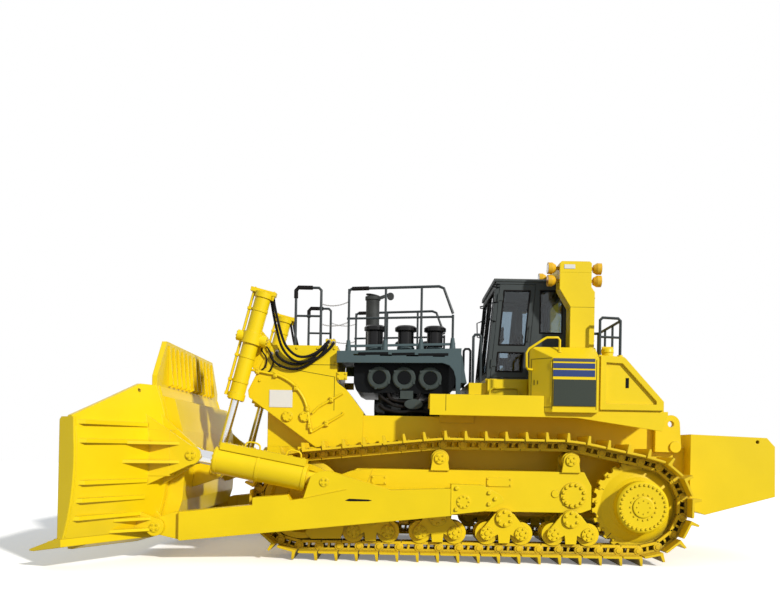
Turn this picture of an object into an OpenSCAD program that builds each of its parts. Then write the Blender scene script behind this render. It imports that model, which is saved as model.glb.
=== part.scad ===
// Very large mining bulldozer: crawler tractor, full-U blade on push arms, rear counterweight.
// Millimetres, +X forward, +Y left, +Z up, Z = 0 under the grousers.
// Lengths along X are measured from the sprocket axle; place() moves the origin to the middle.

/* [Tracks] */
// Distance between the middle lines of the tracks
track_gauge = 3220; // [3100:10:3500]
// Width of one shoe
shoe_w = 810; // [700:10:860]
// Nominal distance between two track pins
link_pitch = 318; // [300:1:340]
// Pin circle of the sprocket and of the idler
chain_r = 714; // [690:2:740]
// Distance from sprocket axle to idler axle
wheel_base = 5400; // [5200:20:5600]
// Height of a grouser over its plate
grouser_h = 110; // [70:5:130]
// Pin line to the outer face of the plates
plate_drop = 95; // [85:1:110]
// Pin line to the rail face of the links
rail_h = 90; // [80:1:100]
// Thickness of one row of links
link_w = 90; // [60:5:100]
// Space between the two rows of links
link_gap = 130; // [120:2:150]
// Front carrier roller, from the sprocket axle
carrier_front_x = 3200; // [3000:20:3400]
// Rear carrier roller, from the sprocket axle
carrier_rear_x = 1110; // [1000:10:1300]
// How far the carriers lift the top run over the wheels
carrier_rise = 235; // [160:5:260]
// Radius of a carrier roller
carrier_r = 130; // [110:2:150]

/* [Undercarriage] */
// Last bogie, from the sprocket axle
bogie_x = 1100; // [1060:10:1140]
// Distance from bogie to bogie
bogie_step = 1062; // [1020:2:1080]
// Half the distance between the two rollers of a bogie
roller_half = 275; // [255:5:290]
// Tread radius of a track roller
roller_r = 160; // [140:2:170]
// Height of the bogie pivots
bogie_z = 700; // [680:5:720]
// Underside of the track frame
frame_z0 = 800; // [780:5:830]
// Top of the track frame
frame_z1 = 1450; // [1380:10:1480]
// Half width of the track frame
frame_half = 175; // [160:5:190]
// Hub drum of the final drive
hub_r = 410; // [360:5:440]
// Reach of the hub face over the middle of the track
hub_reach = 385; // [340:5:400]

/* [Hull] */
// Half width of the hull
hull_half = 1080; // [1000:10:1120]
// Height of the belly over the ground
belly_z = 675; // [600:5:700]
// Hull front behind the nose of the radiator guard
nose_back = 300; // [200:10:400]
// Rear end of the hull
hull_rear_x = -760; // [-800:10:-700]
// Top of the hull at the engine
hull_top_z = 2330; // [2300:5:2360]
// Height of the walkway decks
deck_z = 2665; // [2640:5:2700]
// Height of the rear decks, under the tank
rear_deck_z = 2440; // [2420:5:2460]
// Reach of the decks over the roll-over posts
deck_reach = 300; // [250:10:330]
// Plate of the decks
deck_t = 60; // [40:5:80]
// Front end of the decks
deck_front_x = 3376; // [3300:4:3450]
// Rear end of the decks
deck_rear_x = -440; // [-480:10:-400]
// Rear end of the counterweight
weight_rear_x = -2390; // [-2500:10:-2200]
// Half width of the counterweight
weight_half = 1300; // [1200:10:1400]
// Bore of the tow brackets
tow_r = 52; // [40:1:60]

/* [Radiator guard and engine] */
// Half width of the radiator guard
guard_half = 1100; // [1060:5:1110]
// Rear face of the radiator guard
guard_rear_x = 4915; // [4900:5:4960]
// Length of the radiator guard, rear face to nose
guard_len = 1495; // [1450:5:1520]
// Top of the radiator guard
guard_top_z = 3490; // [3460:5:3520]
// Half width of the engine deck
hood_half = 1250; // [1200:5:1290]
// Rear end of the engine deck
hood_rear_x = 2842; // [2800:2:2880]
// Top of the engine deck at its front end
hood_front_z = 3388; // [3360:2:3410]
// Rise of the engine deck per length, rearwards
hood_slope = 0.038; // [0.02:0.002:0.045]
// Plate of the engine deck
hood_t = 40; // [25:5:60]
// Half length of an air cleaner cap along Y from the middle
cleaner_half = 1000; // [900:10:1100]
// Radius of the air cleaner caps
cleaner_r = 195; // [170:5:205]
// Exhaust stack radius
stack_r = 122; // [90:2:140]
// Top of the exhaust stack
stack_z = 4533; // [4300:10:4600]
// Rail tube radius
rail_r = 24; // [18:1:30]

/* [Cab] */
// Half width of the cab
cab_half = 1000; // [960:5:1010]
// Floor of the cab
cab_z = 2990; // [2970:5:3010]
// Height of the cab walls
cab_h = 1650; // [1600:5:1680]
// Rear face of the cab
cab_rear_x = 1000; // [980:5:1050]
// Front face of the cab at the floor
cab_front_x = 2395; // [2380:5:2420]
// Lean of the cab front, per height
cab_lean = 0.0875; // [0.05:0.0025:0.11]
// Wall of the cab
cab_wall = 55; // [40:5:60]
// Gap around a door
door_gap = 6; // [5:0.5:10]
// Rise of the roll-over frame over the cab walls
rops_rise = 260; // [230:5:300]
// Gap between the cab and the roll-over posts
rops_gap = 150; // [100:5:170]
// Width of a roll-over post
rops_w = 300; // [260:5:320]
// Reach of the side cabinets over the decks
cabinet_reach = 100; // [60:5:140]

/* [Blade] */
// Height of the cutting edge over the ground
blade_z0 = 250; // [150:10:300]
// Half width of the straight middle of the blade
blade_mid = 2100; // [2000:10:2130]
// Full half width of the blade
blade_half = 3680; // [3500:10:3800]
// Sideways slope of the wings, forward per outward
wing_slope = 0.5285; // [0.42:0.005:0.6]
// Face of the blade ahead of the radiator guard
blade_reach = 1120; // [1100:5:1150]
// Radius of the hollow face
face_r = 3270; // [3000:10:3600]
// Middle height of the hollow face
face_z = 1600; // [1550:10:1650]
// Thickness of the face plate
face_t = 80; // [60:5:90]
// Top of the wings at the root
wing_z = 2700; // [2650:10:2750]
// Top of the wings at the tip
wing_tip_z = 2139; // [2000:10:2300]
// Top of the spill guard
spill_z = 3450; // [3300:10:3500]
// Half width of the spill guard at its top
spill_half = 1600; // [1400:20:1900]
// Reach of the end bits over the face
bit_reach = 550; // [450:10:600]

/* [Push arms and cylinders] */
// Trunnion of the push arms, from the sprocket axle
arm_x = 2870; // [2800:5:2900]
// Height of the push arm trunnion
arm_z = 990; // [960:5:1020]
// Middle of a push arm
arm_y = 2270; // [2260:2:2300]
// Half width of a push arm
arm_half = 180; // [160:5:185]
// Lower blade pin ahead of the face of the blade
blade_pin_reach = 10; // [-10:5:20]
// Height of the lower blade pin
blade_pin_z = 525; // [510:5:540]
// Tilt cylinder pin on the arm, from the sprocket axle
tilt_x = 4985; // [4950:5:5010]
// Height of the tilt cylinder pin on the arm
tilt_z = 1250; // [1230:5:1270]
// Tilt cylinder pin on the blade, behind the face
tilt_eye_back = 520; // [500:5:540]
// Height of the tilt cylinder pin on the blade
tilt_eye_z = 1625; // [1600:5:1640]
// Radius of the tilt cylinder barrel
tilt_r = 210; // [180:5:214]
// Middle plane of a lift cylinder
lift_y = 1270; // [1265:1:1285]
// Lift cylinder trunnion behind the nose of the guard
lift_back = 85; // [60:5:100]
// Height of the lift cylinder trunnion
lift_z = 3565; // [3545:5:3590]
// Lift cylinder pin on the blade, behind the face
lift_eye_back = 640; // [630:5:660]
// Height of the lift cylinder pin on the blade
lift_eye_z = 1350; // [1330:5:1370]
// Radius of the lift cylinder barrel
lift_r = 130; // [110:2:134]
// Radius of the lift rods
lift_rod_r = 68; // [55:1:75]

/* [Hidden] */
$fn = 48;

yellow = [0.95, 0.75, 0.08];
slate = [0.3, 0.36, 0.38];
black = [0.1, 0.1, 0.1];
steel = [0.42, 0.4, 0.38];
glass = [0.25, 0.3, 0.32];

fit = 0.3;
track_y = track_gauge / 2;
shoe_half = shoe_w / 2;
pin_z = grouser_h + plate_drop;
wheel_z = pin_z + chain_r;
// Stations that follow from the sizes above
cab_top_z = cab_z + cab_h;
rops_z = cab_top_z + rops_rise;
beam_h = rops_rise - 75;
rops_in = cab_half + rops_gap;
rops_out = rops_in + rops_w;
deck_half = rops_out + deck_reach;
cabinet_out = deck_half + cabinet_reach;
guard_nose_x = guard_rear_x + guard_len;
hull_front_x = guard_nose_x - nose_back;
face_x = guard_nose_x + blade_reach;
blade_pin_x = face_x + blade_pin_reach;
tilt_eye_x = face_x - tilt_eye_back;
lift_x = guard_nose_x - lift_back;
lift_eye_x = face_x - lift_eye_back;
// Blade sizes that follow from the ones above
wing_turn = atan(wing_slope);
wing_len = (blade_half - blade_mid) / cos(wing_turn);
face_o = face_x + face_r;
skin_z0 = blade_z0 + 200;
function face_at(z) = face_o - sqrt(face_r * face_r - (z - face_z) * (z - face_z));
edge_reach = 310;
bit_len = 430;
bit_over = 18;
bit_root = face_at(skin_z0) - face_x + face_t + bit_reach;
blade_front_x = face_x - face_t + bit_root * cos(wing_turn) + (wing_len + bit_over) * sin(wing_turn);
origin_x = (blade_front_x + weight_rear_x) / 2;

module place() {
    translate([-origin_x, 0, 0]) children();
}

module pair() {
    children();
    mirror([0, 1, 0]) children();
}

module left() {
    children();
}

module right() {
    mirror([0, 1, 0]) children();
}

module side(y0, y1) {
    translate([0, y1, 0]) rotate([90, 0, 0]) linear_extrude(height = y1 - y0) children();
}

module front(x0, x1) {
    translate([x0, 0, 0]) rotate([90, 0, 90]) linear_extrude(height = x1 - x0) children();
}

module plan(z0, z1) {
    translate([0, 0, z0]) linear_extrude(height = z1 - z0) children();
}

module box(x0, x1, y0, y1, z0, z1) {
    translate([x0, y0, z0]) cube([x1 - x0, y1 - y0, z1 - z0]);
}

module drum(x, z, r, y0, y1) {
    translate([x, y1, z]) rotate([90, 0, 0]) cylinder(r = r, h = y1 - y0);
}

module post(x, y, r, z0, z1) {
    translate([x, y, z0]) cylinder(r = r, h = z1 - z0);
}

// Swept rail tube through the points, with flat ends
function unit3(v) = v / norm(v);
function heading(p, i) = i == 0 ? unit3(p[1] - p[0])
    : i == len(p) - 1 ? unit3(p[i] - p[i - 1])
    : unit3(unit3(p[i] - p[i - 1]) + unit3(p[i + 1] - p[i]));
function beside(t) = abs(t[1]) > 0.8 ? [1, 0, 0] : [0, 1, 0];
function around(c, t, r, n) = let (u = unit3(cross(t, beside(t))), v = cross(t, u))
    [for (k = [0:n - 1]) c + r * (cos(360 * k / n) * u + sin(360 * k / n) * v)];

module tube(p, r, n = 8) {
    last = len(p) - 1;
    points = [for (i = [0:last]) each around(p[i], heading(p, i), r, n)];
    walls = [for (i = [0:last - 1]) for (k = [0:n - 1])
        [i * n + k, (i + 1) * n + k, (i + 1) * n + (k + 1) % n, i * n + (k + 1) % n]];
    ends = [[for (k = [0:n - 1]) k], [for (k = [n - 1:-1:0]) last * n + k]];
    polyhedron(points = points, faces = concat(walls, ends), convexity = 6);
}

// Path of the track pins
function polar(a) = [cos(a), sin(a)];
function mix2(a, b, f) = a + (b - a) * f;
idler_o = [wheel_base, wheel_z];
sprocket_o = [0, wheel_z];
carrier_pin_z = wheel_z + chain_r + carrier_rise;
c_front = [carrier_front_x, carrier_pin_z];
c_rear = [carrier_rear_x, carrier_pin_z];
function angle_to(o, c) = atan2(c[1] - o[1], c[0] - o[0]);
idler_leave = angle_to(idler_o, c_front) - acos(chain_r / norm(c_front - idler_o));
sprocket_meet = angle_to(sprocket_o, c_rear) + acos(chain_r / norm(c_rear - sprocket_o));
t_idler = idler_o + chain_r * polar(idler_leave);
t_sprocket = sprocket_o + chain_r * polar(sprocket_meet);
run_1 = wheel_base;
run_2 = run_1 + chain_r * (idler_leave + 90) * PI / 180;
run_3 = run_2 + norm(c_front - t_idler);
run_4 = run_3 + norm(c_rear - c_front);
run_5 = run_4 + norm(t_sprocket - c_rear);
run_6 = run_5 + chain_r * (270 - sprocket_meet) * PI / 180;
link_count = round(run_6 / link_pitch);
function run_point(s) = s < run_1 ? [s, pin_z]
    : s < run_2 ? idler_o + chain_r * polar(-90 + (s - run_1) / chain_r * 180 / PI)
    : s < run_3 ? mix2(t_idler, c_front, (s - run_2) / (run_3 - run_2))
    : s < run_4 ? mix2(c_front, c_rear, (s - run_3) / (run_4 - run_3))
    : s < run_5 ? mix2(c_rear, t_sprocket, (s - run_4) / (run_5 - run_4))
    : sprocket_o + chain_r * polar(sprocket_meet + (s - run_5) / chain_r * 180 / PI);
pins = [for (i = [0:link_count - 1]) run_point(i * run_6 / link_count)];
function link_t(i) = let (d = pins[(i + 1) % link_count] - pins[i]) d / norm(d);
function link_p(i) = norm(pins[(i + 1) % link_count] - pins[i]);
function at_link(i, s, n) = let (t = link_t(i)) pins[i] + s * t + n * [t[1], -t[0]];

module link_row() {
    outer = [for (i = [0:link_count - 1]) at_link(i, link_p(i) / 2, plate_drop - 30)];
    inner = [for (i = [0:link_count - 1]) each
        [at_link(i, 0.1 * link_p(i), -rail_h), at_link(i, 0.92 * link_p(i), -0.78 * rail_h)]];
    polygon(points = concat(outer, inner), paths = [[for (i = [0:link_count - 1]) i],
        [for (i = [0:2 * link_count - 1]) link_count + i]]);
}

module shoe(i) {
    p = link_p(i);
    a = 8;
    polygon([at_link(i, a, plate_drop - 36), at_link(i, p - a, plate_drop - 36),
        at_link(i, p - a, plate_drop - 6), at_link(i, 0.86 * p, plate_drop),
        at_link(i, a + 55, plate_drop), at_link(i, a + 34, plate_drop + grouser_h),
        at_link(i, a, plate_drop + grouser_h)]);
}

module track() {
    color(steel) {
        for (i = [0:link_count - 1]) {
            side(track_y - shoe_half, track_y + shoe_half) shoe(i);
        }
        for (s = [-1, 1]) {
            side(track_y + s * (link_gap + link_w) / 2 - link_w / 2,
                track_y + s * (link_gap + link_w) / 2 + link_w / 2) link_row();
        }
    }
}

module track_left() {
    left() track();
}

module track_right() {
    right() track();
}

// Sprocket with final drive
tooth_count = 2 * round(180 / asin(link_pitch / 2 / chain_r));
ring_half = link_gap / 2 - 12;
rail_in = chain_r * cos(asin(link_pitch / 2 / chain_r)) - rail_h;

module sprocket_outline() {
    difference() {
        circle(r = chain_r + 18, $fn = 180);
        for (i = [0:tooth_count - 1]) {
            rotate(i * 360 / tooth_count) translate([chain_r + 6, 0]) circle(r = 46);
        }
        circle(r = hub_r - 60, $fn = 180);
    }
}

module sprockets() {
    color(yellow) pair() {
        translate([0, 0, wheel_z]) side(track_y - ring_half, track_y + ring_half) sprocket_outline();
        translate([0, track_y, wheel_z]) rotate([-90, 0, 0]) rotate_extrude() polygon([
            [0, hull_half - track_y], [480, hull_half - track_y], [480, -ring_half],
            [620, -ring_half + 10], [620, ring_half - 10], [470, ring_half + 55], [hub_r, 150],
            [hub_r, hub_reach - 45], [hub_r - 30, hub_reach - 20], [165, hub_reach - 20],
            [165, hub_reach - 4], [150, hub_reach], [0, hub_reach]]);
    }
}

module idlers() {
    color(yellow) pair() translate([wheel_base, track_y, wheel_z]) rotate([-90, 0, 0])
        rotate_extrude() polygon([[0, -frame_half - 40], [118, -frame_half - 40],
            [118, -link_gap / 2 - link_w - 5], [rail_in - 6, -link_gap / 2 - link_w - 5],
            [rail_in - 6, -ring_half], [rail_in + 80, -ring_half + 15],
            [rail_in + 80, ring_half - 15], [rail_in - 6, ring_half],
            [rail_in - 6, link_gap / 2 + link_w + 5], [rail_in - 100, link_gap / 2 + link_w + 5],
            [rail_in - 140, link_gap / 2 + 20], [260, link_gap / 2 + 20],
            [200, link_gap / 2 + link_w + 5], [118, link_gap / 2 + link_w + 5],
            [118, frame_half + 40], [0, frame_half + 40]]);
}

// Rollers, bogies and track frames
rail_z = pin_z + rail_h;
roller_z = rail_z + roller_r + fit;
flange_y = link_gap / 2 + link_w + 4;
plate_y = max(flange_y + 20, frame_half + 4);
bogie_t = 45;

module roller_turn(r, flange, shaft, cap, y_cap) {
    rotate([-90, 0, 0]) rotate_extrude() polygon([[0, -y_cap - 25], [cap, -y_cap - 25],
        [cap, -y_cap], [shaft, -y_cap], [shaft, -flange_y - 16], [flange, -flange_y - 16],
        [flange, -flange_y], [r, -flange_y], [r, -link_gap / 2 + 25],
        [r - 25, -link_gap / 2 + 45], [r - 25, link_gap / 2 - 45], [r, link_gap / 2 - 25],
        [r, flange_y], [flange, flange_y], [flange, flange_y + 16], [shaft, flange_y + 16],
        [shaft, y_cap], [cap, y_cap], [cap, y_cap + 25], [0, y_cap + 25]]);
}

bogie_list = [for (i = [0:3]) bogie_x + i * bogie_step];

module track_rollers() {
    color(yellow) pair() for (x = bogie_list) for (s = [-1, 1])
        translate([x + s * roller_half, track_y, roller_z])
            roller_turn(roller_r, roller_r + 22, 58, 105, plate_y + bogie_t + fit);
}

// A link crosses a carrier as a chord, so the carriers sit lower by its sag
carrier_bend = max(atan((c_front[1] - t_idler[1]) / (t_idler[0] - c_front[0])),
    atan((c_rear[1] - t_sprocket[1]) / (c_rear[0] - t_sprocket[0])));
carrier_sag = link_pitch / 2 * tan(carrier_bend / 2);
carrier_z = carrier_pin_z - rail_h - carrier_r - carrier_sag - fit;

module carrier_rollers() {
    color(yellow) pair() for (x = [carrier_front_x, carrier_rear_x])
        translate([x, track_y, carrier_z])
            roller_turn(carrier_r, carrier_r + 14, 48, 85, frame_half + 40 + fit);
}

module bogie_plate(x) {
    difference() {
        union() {
            translate([x, bogie_z]) circle(r = 150);
            for (s = [-1, 1]) {
                translate([x + s * roller_half, roller_z]) circle(r = 112);
                polygon([[x + s * 20, bogie_z + 100], [x + s * 150, bogie_z + 70],
                    [x + s * (roller_half + 70), roller_z + 70],
                    [x + s * (roller_half - 40), roller_z - 90], [x + s * 20, roller_z + 30]]);
            }
            polygon([[x - 85, rail_z + 6], [x + 85, rail_z + 6], [x + 120, bogie_z - 60],
                [x - 120, bogie_z - 60]]);
        }
        for (s = [-1, 1]) {
            translate([x + s * roller_half, roller_z]) circle(r = 58 + fit);
        }
    }
}

module bogies() {
    color(yellow) pair() for (x = bogie_list) {
        for (s = [-1, 1]) {
            side(track_y + s * (plate_y + bogie_t / 2) - bogie_t / 2,
                track_y + s * (plate_y + bogie_t / 2) + bogie_t / 2) bogie_plate(x);
        }
        drum(x, bogie_z, 90, track_y - plate_y - 10, track_y + plate_y + bogie_t + 15);
    }
}

frame_rear_x = chain_r + 60;
frame_front_x = wheel_base - rail_in - 120;
saddle_half = 130;

module frame_fork() {
    polygon([[frame_front_x - 180, frame_z0 + 90], [frame_front_x, frame_z0 + 20],
        [wheel_base - 60, wheel_z - 260], [wheel_base + 180, wheel_z - 200], [wheel_base + 180, wheel_z + 200],
        [wheel_base - 120, wheel_z + 240], [frame_front_x - 60, frame_z1 - 40],
        [frame_front_x - 400, frame_z1]]);
}

module idler_guard() {
    polygon([[frame_front_x + 26, frame_z0 + 30], [frame_front_x + 26, rail_z + 265],
        [frame_front_x + 86, rail_z + 35], [wheel_base - 170, rail_z + 25], [wheel_base - 70, rail_z + 125],
        [wheel_base - 200, rail_z + 345], [wheel_base - 560, frame_z0 + 30]]);
}

module carrier_stand(x) {
    translate([x, carrier_z]) circle(r = 120);
    polygon([[x - 150, frame_z1 - 10], [x + 150, frame_z1 - 10], [x + 119, carrier_z],
        [x - 119, carrier_z]]);
}

module track_frame() {
    color(yellow) difference() {
        union() {
            side(track_y - frame_half, track_y + frame_half) polygon([[frame_rear_x, frame_z0 + 60],
                [frame_rear_x + 160, frame_z0], [frame_front_x, frame_z0], [frame_front_x, frame_z1 - 100],
                [frame_front_x - 150, frame_z1], [frame_rear_x + 120, frame_z1],
                [frame_rear_x, frame_z1 - 220]]);
            for (s = [-1, 1]) {
                side(track_y + s * (frame_half + 20) - 20, track_y + s * (frame_half + 20) + 20) {
                    frame_fork();
                    idler_guard();
                    carrier_stand(carrier_front_x);
                    carrier_stand(carrier_rear_x);
                }
            }
            for (x = bogie_list) {
                box(x - saddle_half, x + saddle_half, track_y - link_gap / 2 - link_w + 5,
                    track_y + link_gap / 2 + link_w - 5, bogie_z - 112, frame_z0 + 10);
            }
            drum(1060, 1080, 205, track_y, track_y + frame_half + 25);
            drum(1350, 1100, 60, track_y, track_y + frame_half + 15);
            drum(arm_x, arm_z, 190, track_y, arm_y - arm_half - 20);
            drum(arm_x, arm_z, 110, track_y, arm_y + arm_half - 40);
        }
        for (x = bogie_list) {
            drum(x, bogie_z, 90 + fit, track_y - 400, track_y + 400);
        }
        drum(wheel_base, wheel_z, 118 + fit, track_y - 400, track_y + 400);
        for (x = [carrier_front_x, carrier_rear_x]) {
            drum(x, carrier_z, 48 + fit, track_y - 400, track_y + 400);
        }
    }
}

module track_frame_left() {
    left() track_frame();
}

module track_frame_right() {
    right() track_frame();
}

bar_x = bogie_x + 2.5 * bogie_step;

module cross_shafts() {
    color(yellow) {
        pair() drum(1060, 1070, 160, hull_half, track_y - frame_half);
        box(bar_x - 80, bar_x + 80, -hull_half - 60, hull_half + 60, belly_z - 130, belly_z);
        pair() box(bar_x - 80, bar_x + 80, hull_half + 20, track_y - frame_half,
            belly_z - 130, frame_z0 + 120);
    }
}

// Hull and rear
bay_x0 = 2780;
bay_x1 = 4420;
bay_z = 900;
guard_floor_z = 1782;
nose_half = 850;

module main_frame() {
    color(yellow) difference() {
        side(-hull_half, hull_half) polygon([[hull_rear_x, 1250], [hull_rear_x + 260, 900],
            [400, belly_z], [hull_front_x - 910, belly_z], [hull_front_x, 1150], [hull_front_x, guard_floor_z],
            [4467, guard_floor_z], [4467, hull_top_z], [2700, hull_top_z], [2700, deck_z - deck_t],
            [700, deck_z - deck_t], [700, rear_deck_z - deck_t], [-560, rear_deck_z - deck_t],
            [-560, 2000], [hull_rear_x, 1900]]);
        box(bay_x0, bay_x1, -hull_half + 70, hull_half - 70, bay_z, 4000);
        pair() box(hull_front_x - 550, hull_front_x + 900, nose_half, 2000, belly_z - 10, 4000);
    }
}

module lug_outline() {
    translate([-679, 2268]) circle(r = 150);
    translate([-753, 1886]) circle(r = 105);
    polygon([[-420, rear_deck_z - deck_t], [-420, 1800], [-700, 1795], [-855, 1905], [-829, 2280],
        [-640, 2413], [-560, rear_deck_z - deck_t]]);
}

module tow_brackets() {
    color(yellow) pair() difference() {
        union() {
            side(hull_half, hull_half + 120) lug_outline();
            drum(-753, 1886, 95, hull_half + 100, hull_half + 150);
        }
        drum(-679, 2268, tow_r, hull_half - 50, hull_half + 300);
    }
}

module counterweight() {
    color(yellow) difference() {
        union() {
            box(-1000, hull_rear_x, -hull_half + 80, hull_half - 80, 1300, 1880);
            side(-weight_half, weight_half) polygon([[-975, 2100], [weight_rear_x + 150, 2061],
                [weight_rear_x + 15, 1915], [weight_rear_x, 1086], [-1235, 768], [-975, 850]]);
        }
        drum(-2085, 1990, 30, -2000, 2000);
    }
}

module side_decks() {
    color(yellow) {
        box(700, 2700, -deck_half, deck_half, deck_z - deck_t, deck_z);
        box(deck_rear_x, 700, -deck_half, deck_half, rear_deck_z - deck_t, rear_deck_z);
        pair() {
            box(2690, deck_front_x, hull_half, deck_half, deck_z - deck_t, deck_z);
            box(2700, bay_x0 + 400, hull_half - 70, hull_half, deck_z - 2 * deck_t, deck_z);
            side(hull_half, hull_half + 30) polygon([[2600, hull_top_z - 100],
                [bay_x0 + 400, hull_top_z - 100], [bay_x0 + 400, deck_z], [2600, deck_z]]);
            side(deck_half - 40, deck_half) polygon([[deck_front_x, hull_top_z],
                [deck_front_x, deck_z], [690, deck_z], [690, rear_deck_z],
                [deck_rear_x, rear_deck_z - 20], [deck_rear_x + 90, 2126], [1016, hull_top_z - 10]]);
            box(deck_front_x - 40, deck_front_x, hull_half + 20, deck_half, hull_top_z + 120, deck_z);
        }
    }
}

module cab_base() {
    color(yellow) {
        box(cab_rear_x - 40, cab_front_x + 15, -cab_half - 10, cab_half + 10, deck_z, cab_z);
        box(cab_front_x, 2690, -cab_half - 10, cab_half + 10, deck_z, 2915);
        pair() box(1721, 2385, cab_half, cab_half + 120, deck_z, cab_z - 20);
    }
}

tank_rail_x = [645, 315];
tank_rail_y = deck_half - 110;
tank_rail_z = 3345;

module fuel_tank() {
    color(yellow) {
        side(-deck_half, deck_half) polygon([[680, rear_deck_z], [680, 3332], [281, 3310],
            [-372, 2598], [-372, rear_deck_z]]);
        pair() side(deck_half, deck_half + 45) difference() {
            polygon([[660, rear_deck_z + 15], [660, 3312], [272, 3290], [-352, 2605],
                [-352, rear_deck_z + 15]]);
            polygon([[570, rear_deck_z + 110], [570, 3212], [310, 3198], [-240, 2600],
                [-240, rear_deck_z + 110]]);
        }
        post(430, 1300, 95, 3300, 3420);
        pair() for (y = [tank_rail_y - 470, tank_rail_y - 940]) {
            post(tank_rail_x[1], y, 45, 3280, tank_rail_z);
        }
        pair() for (x = tank_rail_x) {
            post(x, tank_rail_y, 45, 3280, tank_rail_z);
            post(x, tank_rail_y - 1410, 45, 3280, tank_rail_z);
        }
    }
}

module cabinet_body() {
    intersection() {
        front(700, 1780) polygon([[rops_out + 10, deck_z], [deck_half, deck_z], [deck_half, 2400],
            [cabinet_out, 2400], [cabinet_out, 3265], [cabinet_out - 290, 3470], [rops_out + 10, 3470]]);
        plan(2300, 3600) polygon([[700, 0], [1758, 0], [1758, cabinet_out - 290], [1435, cabinet_out],
            [1435, 2500], [700, 2500]]);
    }
}

module side_cabinets() {
    color(yellow) pair() {
        cabinet_body();
        box(745, 1425, cabinet_out, cabinet_out + 14, 2497, 2925);
    }
}

// Radiator guard, engine and engine deck
grille_x = guard_nose_x - 290;
grille_half = 780;
grille_z0 = 2560;
grille_z1 = 3360;

module guard_side() {
    polygon([[4467, guard_floor_z], [guard_nose_x - 1149, guard_floor_z], [guard_nose_x - 15, 2600],
        [guard_nose_x, 2717], [guard_nose_x - 363, guard_top_z - 30],
        [guard_nose_x - 420, guard_top_z], [guard_rear_x, guard_top_z],
        [guard_rear_x, 2878], [4742, 2746], [4467, 2382]]);
}

module radiator_guard() {
    color(yellow) {
        difference() {
            union() {
                side(-guard_half, guard_half) guard_side();
                side(-nose_half, nose_half) polygon([[5100, guard_floor_z],
                    [hull_front_x, guard_floor_z], [hull_front_x, 2450], [5100, 2450]]);
                pair() side(945, 1085) polygon([[guard_nose_x - 470, guard_top_z - 80],
                    [guard_nose_x - 220, lift_z + 155], [guard_nose_x + 50, lift_z + 155],
                    [guard_nose_x + 75, lift_z - 95], [guard_nose_x - 110, 3000],
                    [guard_nose_x - 260, 3000]]);
            }
            box(grille_x, guard_nose_x + 190, -grille_half, grille_half, grille_z0, grille_z1);
            pair() drum(lift_x, lift_z, 75.1, 900, 1200);
        }
        pair() for (x = [guard_nose_x - 670, guard_nose_x - 960]) {
            drum(x, 2290, 90, guard_half - 10, guard_half + 30);
        }
        pair() box(guard_rear_x + 45, guard_rear_x + 205, guard_half - 200, guard_half,
            guard_top_z - 10, guard_top_z + 110);
    }
}

module radiator_grille() {
    color(slate) {
        box(grille_x, grille_x + 30, -grille_half, grille_half, grille_z0, grille_z1);
        for (i = [0:9]) {
            z = grille_z0 + 35 + i * 80;
            box(grille_x + 20, grille_x + 65, -grille_half, grille_half, z, z + 30);
        }
        for (i = [-2:2]) {
            y = i * grille_half / 3;
            box(grille_x + 20, grille_x + 80, y - 18, y + 18, grille_z0, grille_z1);
        }
    }
}

module engine() {
    color(slate) {
        box(bay_x0 + 20, bay_x1 - 20, -hull_half + 120, hull_half - 120, bay_z, hull_top_z - 60);
        box(3000, 4300, -420, 420, hull_top_z - 80, 2640);
        for (i = [0:5]) {
            pair() box(3020 + i * 212, 3200 + i * 212, 400, 700, hull_top_z - 70, 2560);
        }
        pair() {
            translate([3000, 800, 2480]) rotate([0, 90, 0]) cylinder(r = 95, h = 1290);
            for (x = [3150, 3650, 4150]) {
                post(x, 800, 70, hull_top_z - 65, 2700);
            }
        }
    }
}

function hood_top(x) = hood_front_z + (guard_rear_x - x) * hood_slope;
cleaner_list = [4211, 3789, 3350];

module air_cleaners() {
    color(black) {
        side(-cleaner_half, cleaner_half) polygon([[4640, 2880], [4600, 2770], [4500, 2720], [3070, 2720],
            [2970, 2770], [2930, 2880], [2930, hood_top(2930) - hood_t - fit],
            [4640, hood_top(4640) - hood_t - fit]]);
        pair() for (x = cleaner_list) {
            drum(x, 2973, cleaner_r, cleaner_half - 10, cleaner_half + 55);
            drum(x, 2973, cleaner_r * 0.55, cleaner_half, cleaner_half + 75);
        }
    }
}

pre_list = [4290, 3768, 3275];
pre_z = 3500;

module precleaners() {
    color(black) pair() for (x = pre_list) translate([x, 950, pre_z]) rotate_extrude()
        polygon([[0, 0], [115, 0], [135, 20], [135, 255], [188, 275], [188, 330], [150, 360],
            [60, 372], [0, 372]]);
}

stack_x = 4369;

module exhaust_stack() {
    color(slate) {
        difference() {
            translate([stack_x, 0, pre_z]) rotate_extrude() polygon([[0, 0], [stack_r + 60, 0],
                [stack_r + 60, 30], [stack_r, 30], [stack_r, stack_z - pre_z - 70],
                [stack_r + 18, stack_z - pre_z - 60], [stack_r + 18, stack_z - pre_z],
                [0, stack_z - pre_z]]);
            post(stack_x, 0, stack_r - 14, pre_z + 400, stack_z + 10);
        }
        // Rain cap, ajar, with its hinge arm and counterweight
        translate([stack_x - stack_r, 0, stack_z - 4]) rotate([0, -10, 0])
            translate([stack_r, 0, 0]) cylinder(r = stack_r + 10, h = 14);
        side(-15, 15) polygon([[stack_x - stack_r + 8, stack_z - 40], [stack_x - stack_r + 8, stack_z + 8],
            [stack_x - 305, stack_z + 80], [stack_x - 320, stack_z + 30],
            [stack_x - stack_r - 30, stack_z - 40]]);
        drum(stack_x - 320, stack_z + 15, 62, -50, 50);
    }
}

rail_y = 1225;
rail_foot_h = 180;
rail_posts = [4730, 4117, 3518, 2990];

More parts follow.
